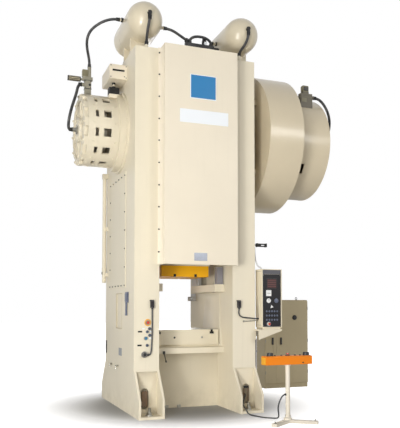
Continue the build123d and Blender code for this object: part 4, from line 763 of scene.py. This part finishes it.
# Oil pipe on the left rear corner: a thick painted tube in two clips, with a black stop-cock knob
# half way down.
coated(side_enamel, "oil_pipe")
knob = [(0.02, 0.012), (0.028, 0.012), (0.028, 0.03), (0.03, 0.03)]
pipe_knob = ((-1.128, 0.965, 2.361), to_left, knob, 24)
worked("pipe_knob", black_plastic, 0.001, turns=[pipe_knob])
pipe_collar = ((-1.117, 0.96, 2.40), up, [(0, 0.041), (0.06, 0.041)], 32)
worked("pipe_collar", side_enamel, 0.002, turns=[pipe_collar])

# Brake. Cast-iron housing with two rows of windows that cool the disc inside, closed by an end
# ring with twelve bolted lugs; the rotary union in its middle lets air into the shaft. All of it
# is sprayed cream as one, so the bolts are cream too.
shaft_height = 4.764
drive_enamel = enamel("drive_enamel", shade(219, 210, 188), 0.34, 0.5, 0.2, 0.12)
eased("brake_housing", drive_enamel, 0.004)
eased("brake_end_ring", drive_enamel, 0.005)
for name, x, bolt_circle, count, phase, radius, height, washer_share in (
    ("brake_flange_bolts", -1.089, 0.682, 24, 0.5, 0.0115, 0.012, 1.25),
    ("brake_lug_bolts", -1.781, 0.578, 12, 0.0, 0.02, 0.018, 1.35),
    ("brake_boss_bolts", -1.801, 0.16, 8, 0.5, 0.014, 0.012, 1.3),
):
    places = ring((x, 0, shaft_height), to_left, bolt_circle, count, phase)
    screws(name, places, radius, height, drive_enamel, 6, washer_share)


def twelfth(part):
    """An angle in twelfths of a turn."""
    return 2 * pi * part / 12


def spun(turn, axis_height=shaft_height):
    """Lifts a thing to a line that runs left to right and turns it round that line."""
    return Matrix.Translation((0, 0, axis_height)) @ Matrix.Rotation(turn, 4, "X")


ribs = []
for index in range(12):
    place = spun(twelfth(index + 0.5))
    ribs.append(((-1.789, -0.062, 0.505), (-1.775, 0.062, 0.552), place))
    ribs.append(((-1.774, -0.022, 0.24), (-1.753, 0.022, 0.475), place))
worked("brake_ring_ribs", drive_enamel, 0.004, ribs)
disc_iron = machined("disc_iron", shade(220, 214, 202), shade(176, 170, 158), 0.55, 40.0)
coated(disc_iron, "brake_disc")
coated(plated_steel, "brake_union")
drum_plugs = []
for index in range(12):
    way = Vector((0, sin(twelfth(index)), cos(twelfth(index))))
    drum_plugs += [(Vector((x, 0, shaft_height)) + way * 0.606, way) for x in (-1.262, -1.62)]
screws("brake_drum_plugs", drum_plugs, 0.014, 0.010, drive_enamel)

# Brake valve on the drum: a grey double valve body between dark gaskets, an olive solenoid with
# its plug, a sintered muffler in a dark cage and the two hose ports.
valve_grey = enamel("valve_grey", shade(150, 146, 130), 0.35, 0.2, 0.2)
coated(valve_grey, "brake_valve")
solenoid_olive = moulding("solenoid_olive", shade(118, 112, 84), 0.4, 0.2)
solenoid = [
    ((-1.725, -0.042, 5.712), (-1.632, 0.042, 5.822)),
    ((-1.70, -0.046, 5.735), (-1.66, -0.042, 5.79)),
]
worked("solenoid_cover", solenoid_olive, 0.004, solenoid)
gaskets = [
    ((-1.688, -0.05, 5.372), (-1.572, 0.05, 5.386)),
    ((-1.690, -0.050, 5.486), (-1.570, 0.050, 5.496)),
    ((-1.690, -0.050, 5.634), (-1.570, 0.050, 5.642)),
]
valve_port = ((-1.60, -0.048, 5.56), to_front, [(0, 0.022), (0.001, 0.022)], 24)
worked("valve_gaskets", black_plastic, 0.001, gaskets, [valve_port])
valve_bolts = [((x, -0.048, z), to_front) for x in (-1.672, -1.588) for z in (5.51, 5.62)]
screws("valve_bolts", valve_bolts, 0.007, 0.007, dark_steel, 12, 1.0)
muffler_height = 5.656
cage_bars = [
    ((-1.966, -0.004, 0.036), (-1.764, 0.004, 0.0455), spun(2 * pi * index / 10, muffler_height))
    for index in range(10)
]
cage_ring = [(0, 0.031), (0, 0.045), (0.012, 0.045), (0.012, 0.031)]
cage_rings = [((x, 0, muffler_height), to_right, cage_ring, 32) for x in (-1.972, -1.766)]
worked("muffler_cage", dark_steel, 0.001, cage_bars, cage_rings)
bronze_mesh = machined("bronze_mesh", shade(196, 188, 168), shade(150, 140, 116), 0.6, 200.0)
muffler = ((-1.96, 0, muffler_height), to_right, [(0, 0), (0, 0.0425), (0.19, 0.0425)], 32)
worked("muffler_core", bronze_mesh, turns=[muffler])

# Cam switch box: sheet box with a lid held by four screws and a thin dark strip of painted shade for
# the slot of its scale, over a black bevel gearbox on the brake's boss.
eased("cam_switch_box", cover_enamel, 0.003)
box_lid = ((-1.353, -0.528, 5.567), (-1.063, -0.525, 5.792))
worked("cam_box_lid", cover_enamel, 0.001, [box_lid])
# The scale slot is a thin dark strip: painted shade standing for the slot's dark inside.
box_slot = ((-1.311, -0.530, 5.684), (-1.106, -0.528, 5.716))
worked("cam_box_slot_shade", black_and_hole_shade, 0.0006, [box_slot])
lid_screws = [((x, -0.528, z), to_front) for x in (-1.338, -1.078) for z in (5.582, 5.777)]
lid_screws.append(((-1.106, -0.528, 5.602), to_front))
screws("cam_box_screws", lid_screws, 0.007, 0.005, dark_steel, 12, 1.2)
gearbox = ((-1.327, -0.364, 5.345), (-1.150, -0.236, 5.460))
gearbox_neck = [(0, 0.045), (0.012, 0.045), (0.012, 0.03), (0.03, 0.03)]
gearbox_shaft = [
    ((-1.2386, -0.30, 5.458), up, gearbox_neck, 32),
    ((-1.2386, -0.30, 5.525), up, [(0, 0.03), (0.029, 0.03)], 32),
]
worked("cam_gearbox", dark_steel, 0.003, [gearbox], gearbox_shaft)

# Air tanks. Rolled shell with two pressed domes, welded, on two plate feet. Their enamel is
# glossier, as tanks are sprayed apart from the frame. Elbows and ports are screwed steel.
tank_coat = {"Coat_Weight": 0.4, "Coat_Roughness": 0.12}
tank_enamel = enamel("tank_enamel", shade(214, 203, 178), 0.24, 0.2, 0.2, 0.03, **tank_coat)
coated(tank_enamel, "left_air_tank", "right_air_tank")
tank_pipes = [((-1.158, -0.55, 6.56), to_left, [(-0.02, 0.038), (0.02, 0.038)], 6)]
elbow = [(0, 0), (0, 0.0285), (0.06, 0.0295), (0.078, 0.0295)]
for side, port_y in ((-1, -0.8), (1, -0.5)):
    x = side * 0.867
    tank_pipes += [
        ((x, -1.199, 6.445), to_front, [(0, 0.036), (0.012, 0.036)], 6),
        ((x, -1.208, 6.445), to_front, [(0, 0.0295), (0.053, 0.0295), (0.053, 0)], 32),
        ((x, -1.234, 6.475), down, elbow, 32),
        ((side * 0.571, port_y, 6.42), (-side, 0, 0), [(-0.01, 0.038), (0.02, 0.038)], 6),
    ]
worked("tank_elbows", dark_steel, 0.0015, turns=tank_pipes)
foot_bolts = [
    ((side * x, y, 5.974), up)
    for side in (-1, 1)
    for x in (0.79, 1.02)
    for y in (-0.742, -0.658, -0.292, -0.208)
]
screws("tank_foot_bolts", foot_bolts, 0.012, 0.01, plated_steel)

# Air service set on the crown: a drilled steel manifold on two posts, the regulator with its
# knob and pressure gauge, and black iron pipe to the right tank.
coated(dark_steel, "air_regulator")
knob = [(0, 0.033), (0.02, 0.036), (0.055, 0.033), (0.061, 0.024), (0.061, 0)]
regulator_knob = [
    ((0.246, -0.748, 6.318), up, knob, 24),
    ((0.246, -0.788, 6.262), to_front, [(0, 0.010), (0.018, 0.010)], 12),
]
worked("regulator_knob", black_plastic, 0.0015, turns=regulator_knob)
dial = [(0, 0.027), (0.016, 0.029), (0.016, 0.026), (0.014, 0.026), (0.014, 0)]
pressure_gauge = ((0.246, -0.806, 6.262), to_front, dial, 32)
worked("pressure_gauge", white_enamel, turns=[pressure_gauge])

# Flywheel guard and clutch guard. Rolled sheet drums with flat ends, hung on brackets from the
# right upright; the smaller one closes the clutch. Both are glossy enamel with a welded rim.
guard_coat = {"Coat_Weight": 0.3, "Coat_Roughness": 0.2}
guard_enamel = enamel("guard_enamel", shade(214, 201, 174), 0.28, 0.22, 0.2, 0.03, **guard_coat)
coated(guard_enamel, "flywheel_guard", "clutch_guard")
guard_rims = []
for x, inner, outer, width in ((1.922, 0.95, 0.976, 0.012), (2.60, 0.945, 0.953, 0.024)):
    band = [(0, inner), (0, outer), (width, outer), (width, inner)]
    guard_rims.append(((x, 0, shaft_height), to_right, band, 128, False))
worked("guard_rims", guard_enamel, 0.002, turns=guard_rims)
guard_screws = ring((1.934, 0, shaft_height), to_right, 0.963, 20, 0.5)
guard_screws += ring((2.628, 0, shaft_height), to_right, 0.90, 16, 0.5)
guard_screws += ring((2.674, 0, shaft_height), to_right, 0.15, 6)
screws("guard_screws", guard_screws, 0.0085, 0.007, dark_steel, 12, 1.2)
slot_place = spun(radians(124))
slot_rim = [
    ((2.062, -0.104, 0.948), (2.071, 0.104, 0.957), slot_place),
    ((2.149, -0.104, 0.948), (2.158, 0.104, 0.957), slot_place),
    ((2.071, -0.104, 0.948), (2.149, -0.095, 0.957), slot_place),
    ((2.071, 0.095, 0.948), (2.149, 0.104, 0.957), slot_place),
]
worked("clutch_slot_rim", guard_enamel, 0.001, slot_rim)
valve_dark = enamel("valve_dark", shade(104, 98, 84), 0.35, 0.2, 0.2)
coated(valve_dark, "clutch_valve")
valve_coil = [
    ((2.158, -0.712, 5.598), (2.40, -0.608, 5.606)),
    ((2.18, -0.716, 5.50), (2.28, -0.710, 5.58)),
    ((2.158, -0.712, 5.655), (2.40, -0.608, 5.663)),
    ((2.208, -0.704, 5.70), (2.328, -0.616, 5.80)),
]
worked("clutch_valve_coil", solenoid_olive, 0.003, valve_coil)
coil_plug = ((2.225, -0.716, 5.715), (2.31, -0.704, 5.785))
valve_cap = [
    ((2.34, -0.66, 5.66), up, [(0, 0.016), (0.03, 0.016)], 6),
    ((2.34, -0.66, 5.69), up, [(0, 0.012), (0.022, 0.014), (0.03, 0.010), (0.03, 0)], 20),
]
worked("clutch_valve_plug", black_plastic, 0.0015, [coil_plug], valve_cap)

# Drive inside the guards and at the rear: flywheel on its hub, four belts, the pulley, the motor
# with its cooling ribs and terminal box, and the clutch drum.
belt_rubber = moulding("belt_rubber", shade(34, 34, 34), 0.6, 0.3)
cast_iron = machined("cast_iron", shade(120, 118, 114), shade(84, 82, 80), 0.45, 30.0)
motor_grey = enamel("motor_grey", shade(112, 118, 116), 0.4, 0.3, 0.2)
coated(cast_iron, "flywheel", "flywheel_hub", "motor_pulley", "clutch_drum")
coated(belt_rubber, "drive_belts")
coated(motor_grey, "main_motor")
fan_cover = [(0, 0.09), (0, 0.20), (0.03, 0.216), (0.056, 0.216)]
fan_place = (0.384, 1.49, shaft_height)
worked("motor_fan_cover", motor_grey, turns=[(fan_place, to_right, fan_cover, 48)])
motor_bolts = [((x, y, 4.569), up) for x in (0.70, 0.99) for y in (1.315, 1.665)]
screws("motor_bolts", motor_bolts, 0.014, 0.012, plated_steel)
terminal_screws = [((x, 1.811, z), to_back) for x in (0.60, 0.73) for z in (4.70, 4.83)]
screws("terminal_box_screws", terminal_screws, 0.006, 0.004, dark_steel, 12, 1.0)

# Crank train behind the covers: ground shaft in bronze bushes, bronze eccentric, forged rod, and
# the two air cylinders that carry the slide's weight.
ground_steel = machined("ground_steel", shade(200, 200, 198), shade(150, 150, 148), 0.22, 90.0)
bronze = machined("bearing_bronze", shade(190, 158, 96), shade(140, 110, 62), 0.3, 70.0)
coated(ground_steel, "crankshaft", "balance_rods", "ejector_pin")
coated(bronze, "shaft_bushes", "eccentric_bush", "slide_gibs")
coated(cast_iron, "connecting_rod")
coated(motor_grey, "balance_cylinders")
eased("slide", side_enamel, 0.004, "slide_group")

# Die space. The orange plate under the slide takes the upper die. Side rails run along the
# uprights; on the right one stand a pale limit switch box and a grey prop, and below it a bent
# steel bracket holds the work's side stop.
orange_enamel = enamel("orange_enamel", shade(254, 186, 20), 0.34, 0.15, 0.2)
eased("slide_plate", orange_enamel, 0.004, "slide_group")
# Two dark steel blocks at the front of the plate are painted shade, standing for the dark inside of its two
# slots.
slot_ends = [((x - 0.0225, -0.478, 2.2505), (x + 0.0225, -0.40, 2.2955)) for x in (-0.19, 0.19)]
worked("slide_slot_shade_blocks", dark_steel, 0.002, slot_ends, body="slide_group")
rail_enamel = enamel("rail_enamel", cream, 0.36, 0.3, 0.2)
eased("side_rails", rail_enamel, 0.004)
pale_grey = enamel("pale_grey", shade(206, 206, 206), 0.4, 0.15, 0.2)
rail_top = 2.1195
switch_box = ((0.477, 0.270, rail_top), (0.535, 0.545, 2.318))
worked("rail_switch_box", pale_grey, 0.006, [switch_box])
prop_grey = enamel("prop_grey", shade(140, 138, 144), 0.4, 0.15, 0.2)
prop = [
    ((0.505, -0.685, rail_top), (0.639, -0.53, 2.13)),
    ((0.52, -0.67, 2.13), (0.625, -0.545, 2.42)),
]
worked("slide_prop", prop_grey, 0.004, prop)
bracket = [
    ((0.628, 0.735, 1.845), (0.64, 1.0, 1.985)),
    ((0.56, 0.735, 1.845), (0.628, 0.751, 1.93)),
    ((0.56, 0.984, 1.845), (0.628, 1.0, 1.93)),
]
stop_rod = ((0.59, 0.72, 1.89), to_back, [(0, 0), (0, 0.016), (0.30, 0.016), (0.30, 0)], 20)
worked("stop_bracket", pale_grey, 0.002, bracket, [stop_rod])

# Bolster. Thick ground plate with two T-slots, whose mouths hold dark steel blocks as painted shade;
# its edges carry lifting holes, one drawn as a dark disc of painted shade, one plugged. Below it are
# the ejector's hand lever and the levelling wedges of the bed.
bolster_side = enamel("bolster_enamel", shade(224, 215, 192), 0.36, 0.3, 0.3)
die_face_steel = machined("die_face_steel", shade(214, 212, 204), shade(172, 170, 162), 0.35, 25.0)
bolster = eased("bolster", bolster_side, 0.003)
bolster.data.materials.append(die_face_steel)
for face in bolster.data.polygons:
    if face.normal.z > 0.9 and face.center.z > 1.335:
        face.material_index = 1
# Dark steel blocks in the front of the T-slots are painted shade, standing for the slots' dark inside.
bolster_slot_shade_blocks = []
for x in (-0.482, 0.482):
    bolster_slot_shade_blocks.append(((x - 0.036, -0.4995, 1.267), (x + 0.036, -0.42, 1.303)))
    bolster_slot_shade_blocks.append(((x - 0.019, -0.4995, 1.303), (x + 0.019, -0.42, 1.338)))
worked("bolster_slot_shade_blocks", dark_steel, 0.001, bolster_slot_shade_blocks)
# The open lifting hole is a thin dark disc on the face: painted shade standing for the hole's dark inside.
hole = ((-0.2, -0.5, 1.206), to_front, [(-0.01, 0.017), (0.0008, 0.017), (0.0008, 0)], 24)
worked("lifting_hole_shade_disc", black_and_hole_shade, turns=[hole])
plug = [(-0.01, 0.017), (0.003, 0.017), (0.004, 0.013), (0.004, 0)]
worked("lifting_plug", plated_steel, turns=[((0.298, -0.5, 1.206), to_front, plug, 24)])
lever_way = (0.22, -0.05, -1)
lever_plate = ((-0.455, -0.66, 0.962), (-0.415, -0.65, 0.990))
grip = [(0, 0.013), (0.03, 0.013), (0.036, 0.006), (0.036, 0)]
lever = [
    ((-0.435, -0.65, 0.955), to_front, [(0, 0.02), (0.012, 0.02), (0.012, 0)], 24),
    ((-0.435, -0.668, 0.955), lever_way, [(0, 0.009), (0.12, 0.007), (0.12, 0)], 16),
    ((-0.408, -0.674, 0.838), lever_way, grip, 16),
]
worked("ejector_lever", black_plastic, 0.0015, [lever_plate], lever)
wedges = [((x - 0.03, -0.395, 0.0), (x + 0.03, -0.366, 0.05)) for x in (-0.30, -0.08)]
worked("levelling_wedges", plated_steel, 0.003, wedges)

# Front feet. The jack slot of the left one holds a coiled brown air hose; the right one holds two
# hose ends under a black connector, beside the stand's cable.
brown_rubber = moulding("brown_rubber", shade(132, 108, 86), 0.5, 0.5)
hose_strands = []
for strand in range(5):
    start = (-0.913 + strand * 0.018, -1.052, 0.15 + 0.012 * (strand % 2))
    hose_strands.append((start, up, [(0, 0.012), (0.24, 0.012)], 12))
hose_strands += [((x, -1.052, 0.15), up, [(0, 0.012), (0.22, 0.012)], 12) for x in (0.842, 0.912)]
worked("foot_hose_bundle", brown_rubber, 0.002, turns=hose_strands)
connector = ((0.835, -1.075, 0.372), (0.919, -1.054, 0.41))
connector_end = ((0.877, -1.075, 0.391), to_front, [(0, 0.014), (0.02, 0.014), (0.02, 0)], 16)
worked("foot_connector", black_plastic, 0.003, [connector], [connector_end])

# Fittings on the front of the columns. Chromed collars with a red mushroom stop on a yellow disc,
# a blue start button, dark selector knobs, a round socket, blank labels and two black light
# sensors. The light sensors and the socket are moulded plastic.
coated(black_plastic, "column_fittings")
yellow_disc = moulding("yellow_disc", shade(236, 176, 60), 0.4, 0.05)
stop_red = moulding("stop_red", shade(204, 62, 40), 0.32, 0.05, Coat_Weight=0.3)
start_blue = moulding("start_blue", shade(50, 128, 168), 0.35, 0.05)
knob_dark = moulding("knob_dark", shade(64, 76, 94), 0.4, 0.1)
disc = [(0, 0.037), (0, 0.056), (0.0035, 0.056), (0.0035, 0.037)]
stop_disc = ((-0.831, -frame_half, 1.481), to_front, disc, 48, False)
worked("stop_disc", yellow_disc, 0.001, turns=[stop_disc])
collars = []
for x, z, radius in ((-0.831, 1.481, 0.0385), (-0.864, 1.231, 0.0315)):
    band = [(0.0, radius - 0.002), (0.0, radius), (0.0125, radius)]
    band += [(0.0145, radius - 0.002), (0.0145, 0.0115)]
    collars.append(((x, -frame_half, z), to_front, band, 40, False))
worked("button_collars", plated_steel, turns=collars)
coated(stop_red, "column_estop")
coated(start_blue, "column_button")
knob_places = ((-0.839, 1.335), (-0.839, 1.118), (-0.797, 1.278), (-0.800, 1.383))
knob = [(0, 0.024), (0.008, 0.024), (0.01, 0.0175), (0.034, 0.0165), (0.0365, 0.013), (0.0365, 0)]
knobs = [((x, -frame_half, z), to_front, knob, 28) for x, z in knob_places]
pointers = [((x - 0.0045, -1.097, z - 0.0165), (x + 0.0045, -1.091, z + 0.0165)) for x, z in knob_places]
worked("selector_knobs", knob_dark, 0.001, pointers, knobs)


def labels(places, half_width, half_height, thickness):
    """Blank labels on the front of the column."""
    blocks = []
    for x, z in places:
        low = (x - half_width, -frame_half - thickness, z - half_height)
        blocks.append((low, (x + half_width, -frame_half, z + half_height)))
    return blocks


dark_labels = labels(((-0.956, 1.337), (-0.964, 1.12)), 0.035, 0.0125, 0.0025)
worked("column_labels", black_and_hole_shade, 0.0008, dark_labels)
white_labels = labels(((-0.775, 1.335), (-0.90, 1.385), (-0.79, 1.231)), 0.02, 0.010, 0.002)
worked("column_small_labels", white_enamel, 0.0008, white_labels)
socket_place = (-0.889, -frame_half, 0.974)
lid = [(0.054, 0.036), (0.0575, 0.036), (0.0575, 0.030), (0.055, 0.030), (0.055, 0)]
socket_rings = [
    (socket_place, to_front, lid, 32),
    (socket_place, to_front, [(0, 0.05), (0.01, 0.05), (0.012, 0.043)], 32),
]
lid_hinge = ((-0.906, -1.085, 1.008), (-0.872, -1.058, 1.028))
worked("socket_lid", plated_steel, 0.0008, [lid_hinge], socket_rings)
sensor_glass = moulding("sensor_glass", shade(34, 28, 30), 0.15, 0.0)
sensor_plates = []
for x in (-0.764, 0.748):
    sensor_plates.append(((x - 0.022, -1.1025, 1.732), (x + 0.022, -1.0985, 1.818)))
    sensor_plates.append(((x - 0.036, -1.068, 1.822), (x + 0.036, -frame_half, 1.842)))
lens = [(0, 0.010), (0.002, 0.010), (0.002, 0)]
lenses = [((x, -1.1025, 1.80), to_front, lens, 20) for x in (-0.764, 0.748)]
worked("sensor_windows", sensor_glass, 0.002, sensor_plates, lenses)

# Console. Steel box in cream enamel on a welded shelf, its front set back in the rim: a grey header
# over a black panel with a small display, lamps, rows of buttons and a red stop.
panel_face = -1.1866
console_enamel = enamel("console_enamel", shade(232, 222, 198), 0.36, 0.25, 0.2)
eased("console_bracket", frame_enamel, 0.002)
eased("console_box", console_enamel, 0.003)
header_grey = enamel("header_grey", shade(92, 92, 98), 0.4, 0.1, 0.2)
panel_black = enamel("panel_black", shade(30, 29, 32), 0.4, 0.08, 0.2)
header = ((1.134, -1.1874, 2.284), (1.476, -1.186, 2.356))
worked("console_header", header_grey, 0.001, [header])
panel = ((1.134, panel_face, 1.394), (1.476, -1.186, 2.282))
worked("console_panel", panel_black, 0.001, [panel])
display_glass = moulding("display_glass", shade(70, 44, 42), 0.12, 0.0)
display = ((1.214, -1.1925, 2.046), (1.394, panel_face, 2.204))
worked("console_display", display_glass, 0.002, [display])
bezel = [
    ((1.205, -1.196, 2.204), (1.403, panel_face, 2.214)),
    ((1.205, -1.196, 2.036), (1.403, panel_face, 2.046)),
    ((1.205, -1.196, 2.046), (1.214, panel_face, 2.204)),
    ((1.394, -1.196, 2.046), (1.403, panel_face, 2.204)),
]
worked("display_bezel", black_plastic, 0.001, bezel)
display_field = moulding("display_field", shade(104, 62, 60), 0.2, 0.0)
bar_levels = [2.07 + level * 0.034 for level in range(4)]
bars = [((1.228, -1.1932, z), (1.38, -1.1924, z + 0.012)) for z in bar_levels]
worked("display_fields", display_field, blocks=bars)
lamp_white = moulding("lamp_white", shade(238, 238, 236), 0.3, 0.0)
square_dial = ((1.199, -1.1945, 1.912), (1.294, panel_face, 2.013))
round_dial = [(0, 0.040), (0.004, 0.040), (0.006, 0.036), (0.006, 0)]
dials = [
    ((1.247, panel_face, 1.835), to_front, round_dial, 40),
    ((1.303, panel_face, 1.732), to_front, [(0, 0.034), (0.008, 0.03), (0.008, 0)], 3),
]
worked("console_dials", lamp_white, 0.001, [square_dial], dials)
needles = [
    ((1.244, -1.1965, 1.835), (1.250, -1.1955, 1.866)),
    ((1.215, -1.1952, 1.958), (1.278, -1.1945, 1.964)),
]
worked("dial_needles", black_and_hole_shade, blocks=needles)
blue_grey = moulding("lamp_blue_grey", shade(96, 104, 124), 0.3, 0.0)
selector_profile = [(0, 0.038), (0.010, 0.038), (0.014, 0.030), (0.014, 0)]
selector = ((1.389, panel_face, 1.835), to_front, selector_profile, 40)
worked("console_selector", blue_grey, 0.001, turns=[selector])
buttons = [
    ((1.21 + column * 0.049, panel_face, 1.512 + level * 0.072), to_front)
    for level in range(3)
    for column in range(5)
]
screws("console_buttons", buttons, 0.0135, 0.009, blue_grey, 20, 1.25)
coated(stop_red, "console_estop")
disc = [(0, 0.031), (0, 0.042), (0.0015, 0.042), (0.0015, 0.031)]
stop_disc = ((1.247, panel_face, 1.443), to_front, disc, 40, False)
worked("console_stop_disc", blue_grey, turns=[stop_disc])
console_screws = [((x, panel_face, z), to_front) for x in (1.148, 1.462) for z in (1.41, 2.265)]
screws("console_screws", console_screws, 0.006, 0.003, plated_steel, 14, 1.0)
seams = [((1.1185, -1.16, z), (1.12, -0.96, z + 0.004)) for z in (1.42, 2.33)]
worked("console_seams", header_grey, blocks=seams)

# Conduits at the right column. Two grey steel conduits run from the floor up to the console's
# shelf, and a thin plated one crosses the front of the column from a small round gland.
conduit_grey = enamel("conduit_grey", shade(168, 168, 174), 0.4, 0.3, 0.3)
conduits = []
for x in (1.095, 1.15):
    conduits.append(((x, -0.87, 0.0), up, [(0, 0.016), (1.18, 0.016)], 20))
    conduits.append(((x, -0.87, 0.0), up, [(0, 0.026), (0.03, 0.026), (0.03, 0)], 20))
clips = [((frame_half, -0.89, z), (1.172, -0.85, z + 0.03)) for z in (0.35, 0.95)]
worked("floor_conduits", conduit_grey, 0.001, clips, conduits)
gland = [(0, 0.017), (0.012, 0.017), (0.028, 0.012), (0.028, 0)]
cross_pipe = [
    ((0.841, -frame_half, 1.488), to_front, gland, 20),
    ((0.85, -1.071, 1.488), (1, 0, 0.06), [(0, 0.007), (0.25, 0.007)], 14),
]
worked("cross_conduit", plated_steel, turns=cross_pipe)

# Cable hanger at the right of the columns: a bent black arm with a loop over the console, and a
# grey conduit that comes down to the console's top.
arm_profile = [(0, 0.03), (0.008, 0.03), (0.008, 0.011), (0.19, 0.011), (0.19, 0)]
arm = ((frame_half, -0.9, 2.80), to_right, arm_profile, 20)
loop = [
    ((1.155, -0.935, 2.768), (1.345, -0.915, 2.79)),
    ((1.155, -0.885, 2.81), (1.345, -0.865, 2.832)),
    ((1.323, -0.935, 2.768), (1.345, -0.865, 2.832)),
    ((1.155, -0.935, 2.768), (1.177, -0.865, 2.832)),
]
worked("cable_hanger", dark_steel, 0.003, loop, [arm])
conduit_route = [(1.08, -0.98, 2.76), (1.08, -0.99, 2.62), (1.085, -1.03, 2.5)]
conduit_route += [(1.11, -1.05, 2.42), (1.17, -1.06, 2.40), (1.17, -1.06, 2.37)]
drawn = tube_along("conduit", conduit_route, 0.026, pale_grey, 12, 4)
evaluated = drawn.evaluated_get(bpy.context.evaluated_depsgraph_get())
conduit_mesh = bpy.data.meshes.new_from_object(evaluated)
conduit_mesh.materials.clear()
conduit_mesh.materials.append(pale_grey)
bpy.data.objects.remove(drawn)
conduit = add_object("console_conduit", conduit_mesh)
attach(conduit, "press")

# Electrical cabinet. Grey-brown sheet-steel cabinet with two doors on black swing handles, hinges
# at the outer edges, a rotary main switch and two lifting eyes on its roof.
cabinet_enamel = enamel("cabinet_enamel", shade(198, 184, 150), 0.42, 0.3, 0.4)
eased("control_cabinet", cabinet_enamel, 0.003)
eased("cabinet_left_door", cabinet_enamel, 0.003, "left_door")
eased("cabinet_right_door", cabinet_enamel, 0.003, "right_door")
for side, low in (("left", 2.594), ("right", 2.792)):
    grip = ((low - 0.001, 1.3655, 0.924), (low + 0.035, 1.3915, 1.076))
    worked(side + "_handle", black_plastic, 0.004, [grip], body=side + "_door")
coated(black_plastic, "cabinet_switch")
barrel = [(0, 0), (0, 0.0065), (0.07, 0.0065), (0.07, 0)]
for side, x in (("left", 2.4475), ("right", 3.4625)):
    hinges = [((x, 1.389, z), up, barrel, 16) for z in (0.30, 0.97, 1.66)]
    worked(side + "_door_hinges", plated_steel, turns=hinges)
eyes = bmesh.new()
eye_foot = [(0, 0.014), (0.008, 0.014), (0.014, 0.007), (0.014, 0)]
for x in (2.60, 3.31):
    start = len(eyes.verts)
    upright = Matrix.Translation((x + 0.022, 1.618, 1.915)) @ Matrix.Rotation(pi / 2, 4, "X")
    bmesh.ops.create_circle(eyes, segments=8, radius=0.006, matrix=upright)
    eyes.verts.ensure_lookup_table()
    wire = eyes.verts[start:]
    wire += [edge for edge in eyes.edges if all(v in wire for v in edge.verts)]
    turn = {"cent": (x, 1.618, 1.915), "axis": (0, 1, 0), "angle": 2 * pi, "steps": 24}
    bmesh.ops.spin(eyes, geom=wire, use_merge=True, **turn)
    turned(eyes, (x, 1.618, 1.88), up, eye_foot, 20)
bmesh.ops.remove_doubles(eyes, verts=eyes.verts, dist=1e-5)
finished("lifting_eyes", eyes, plated_steel, "press")

# Two-hand stand. Cream-white tube on three welded legs, an orange box with a shrouded black palm
# button at each end, a red stop in the middle and a few small buttons along its top.
stand_enamel = enamel("stand_enamel", shade(228, 220, 204), 0.34, 0.3, 0.3)
box_orange = enamel("box_orange", shade(234, 130, 14), 0.34, 0.15, 0.2)
end_yellow = enamel("end_yellow", shade(236, 170, 40), 0.34, 0.15, 0.2)
eased("stand_column", stand_enamel, 0.003)
stand_x, stand_y, box_top = 0.99, -2.33, 0.998
stand_box = eased("stand_box", box_orange, 0.003)
stand_box.data.materials.append(black_plastic)
for face in stand_box.data.polygons:
    if face.center.z > box_top + 0.0005:
        face.material_index = 1
box_end = ((0.5895, -2.404, 0.874), (0.5905, -2.256, 0.975))
worked("stand_box_end", end_yellow, 0.0, [box_end])
skirt = [(0, 0.046), (0, 0.056), (0.004, 0.056), (0.006, 0.0485), (0.036, 0.0475), (0.042, 0.0455)]
shrouds = [((x, stand_y, box_top), up, skirt, 40, False) for x in (0.695, 1.305)]
worked("palm_shrouds", black_plastic, turns=shrouds)
coated(black_plastic, "left_palm_button", "right_palm_button")
coated(stop_red, "stand_estop")
small_buttons = [((x, stand_y, box_top), up) for x in (0.776, 0.885, 1.115, 1.20)]
screws("stand_small_buttons", small_buttons, 0.013, 0.012, black_plastic, 20)
box_plug = ((1.195, -2.4118, 0.889), (1.225, -2.4095, 0.904))
worked("stand_box_plug", black_and_hole_shade, 0.0006, [box_plug])
foot_screws = []
for angle in (-144, -38, 62):
    x = stand_x + cos(radians(angle)) * 0.41
    y = stand_y + sin(radians(angle)) * 0.41
    foot_screws.append(((x, y, 0.046), up, [(0, 0.017), (0.008, 0.017)], 6))
    foot_screws.append(((x, y, 0.054), up, [(0, 0.009), (0.018, 0.009), (0.018, 0)], 16))
worked("stand_foot_screws", plated_steel, turns=foot_screws)
foot_collar = [(0, 0.064), (0.022, 0.062), (0.034, 0.048), (0.044, 0.0355)]
collars = [
    ((stand_x, stand_y, 0.85), up, [(0, 0.036), (0.002, 0.05), (0.018, 0.05)], 32),
    ((stand_x, stand_y, 0.046), up, foot_collar, 40),
]
worked("stand_collars", stand_enamel, turns=collars)

low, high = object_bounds()
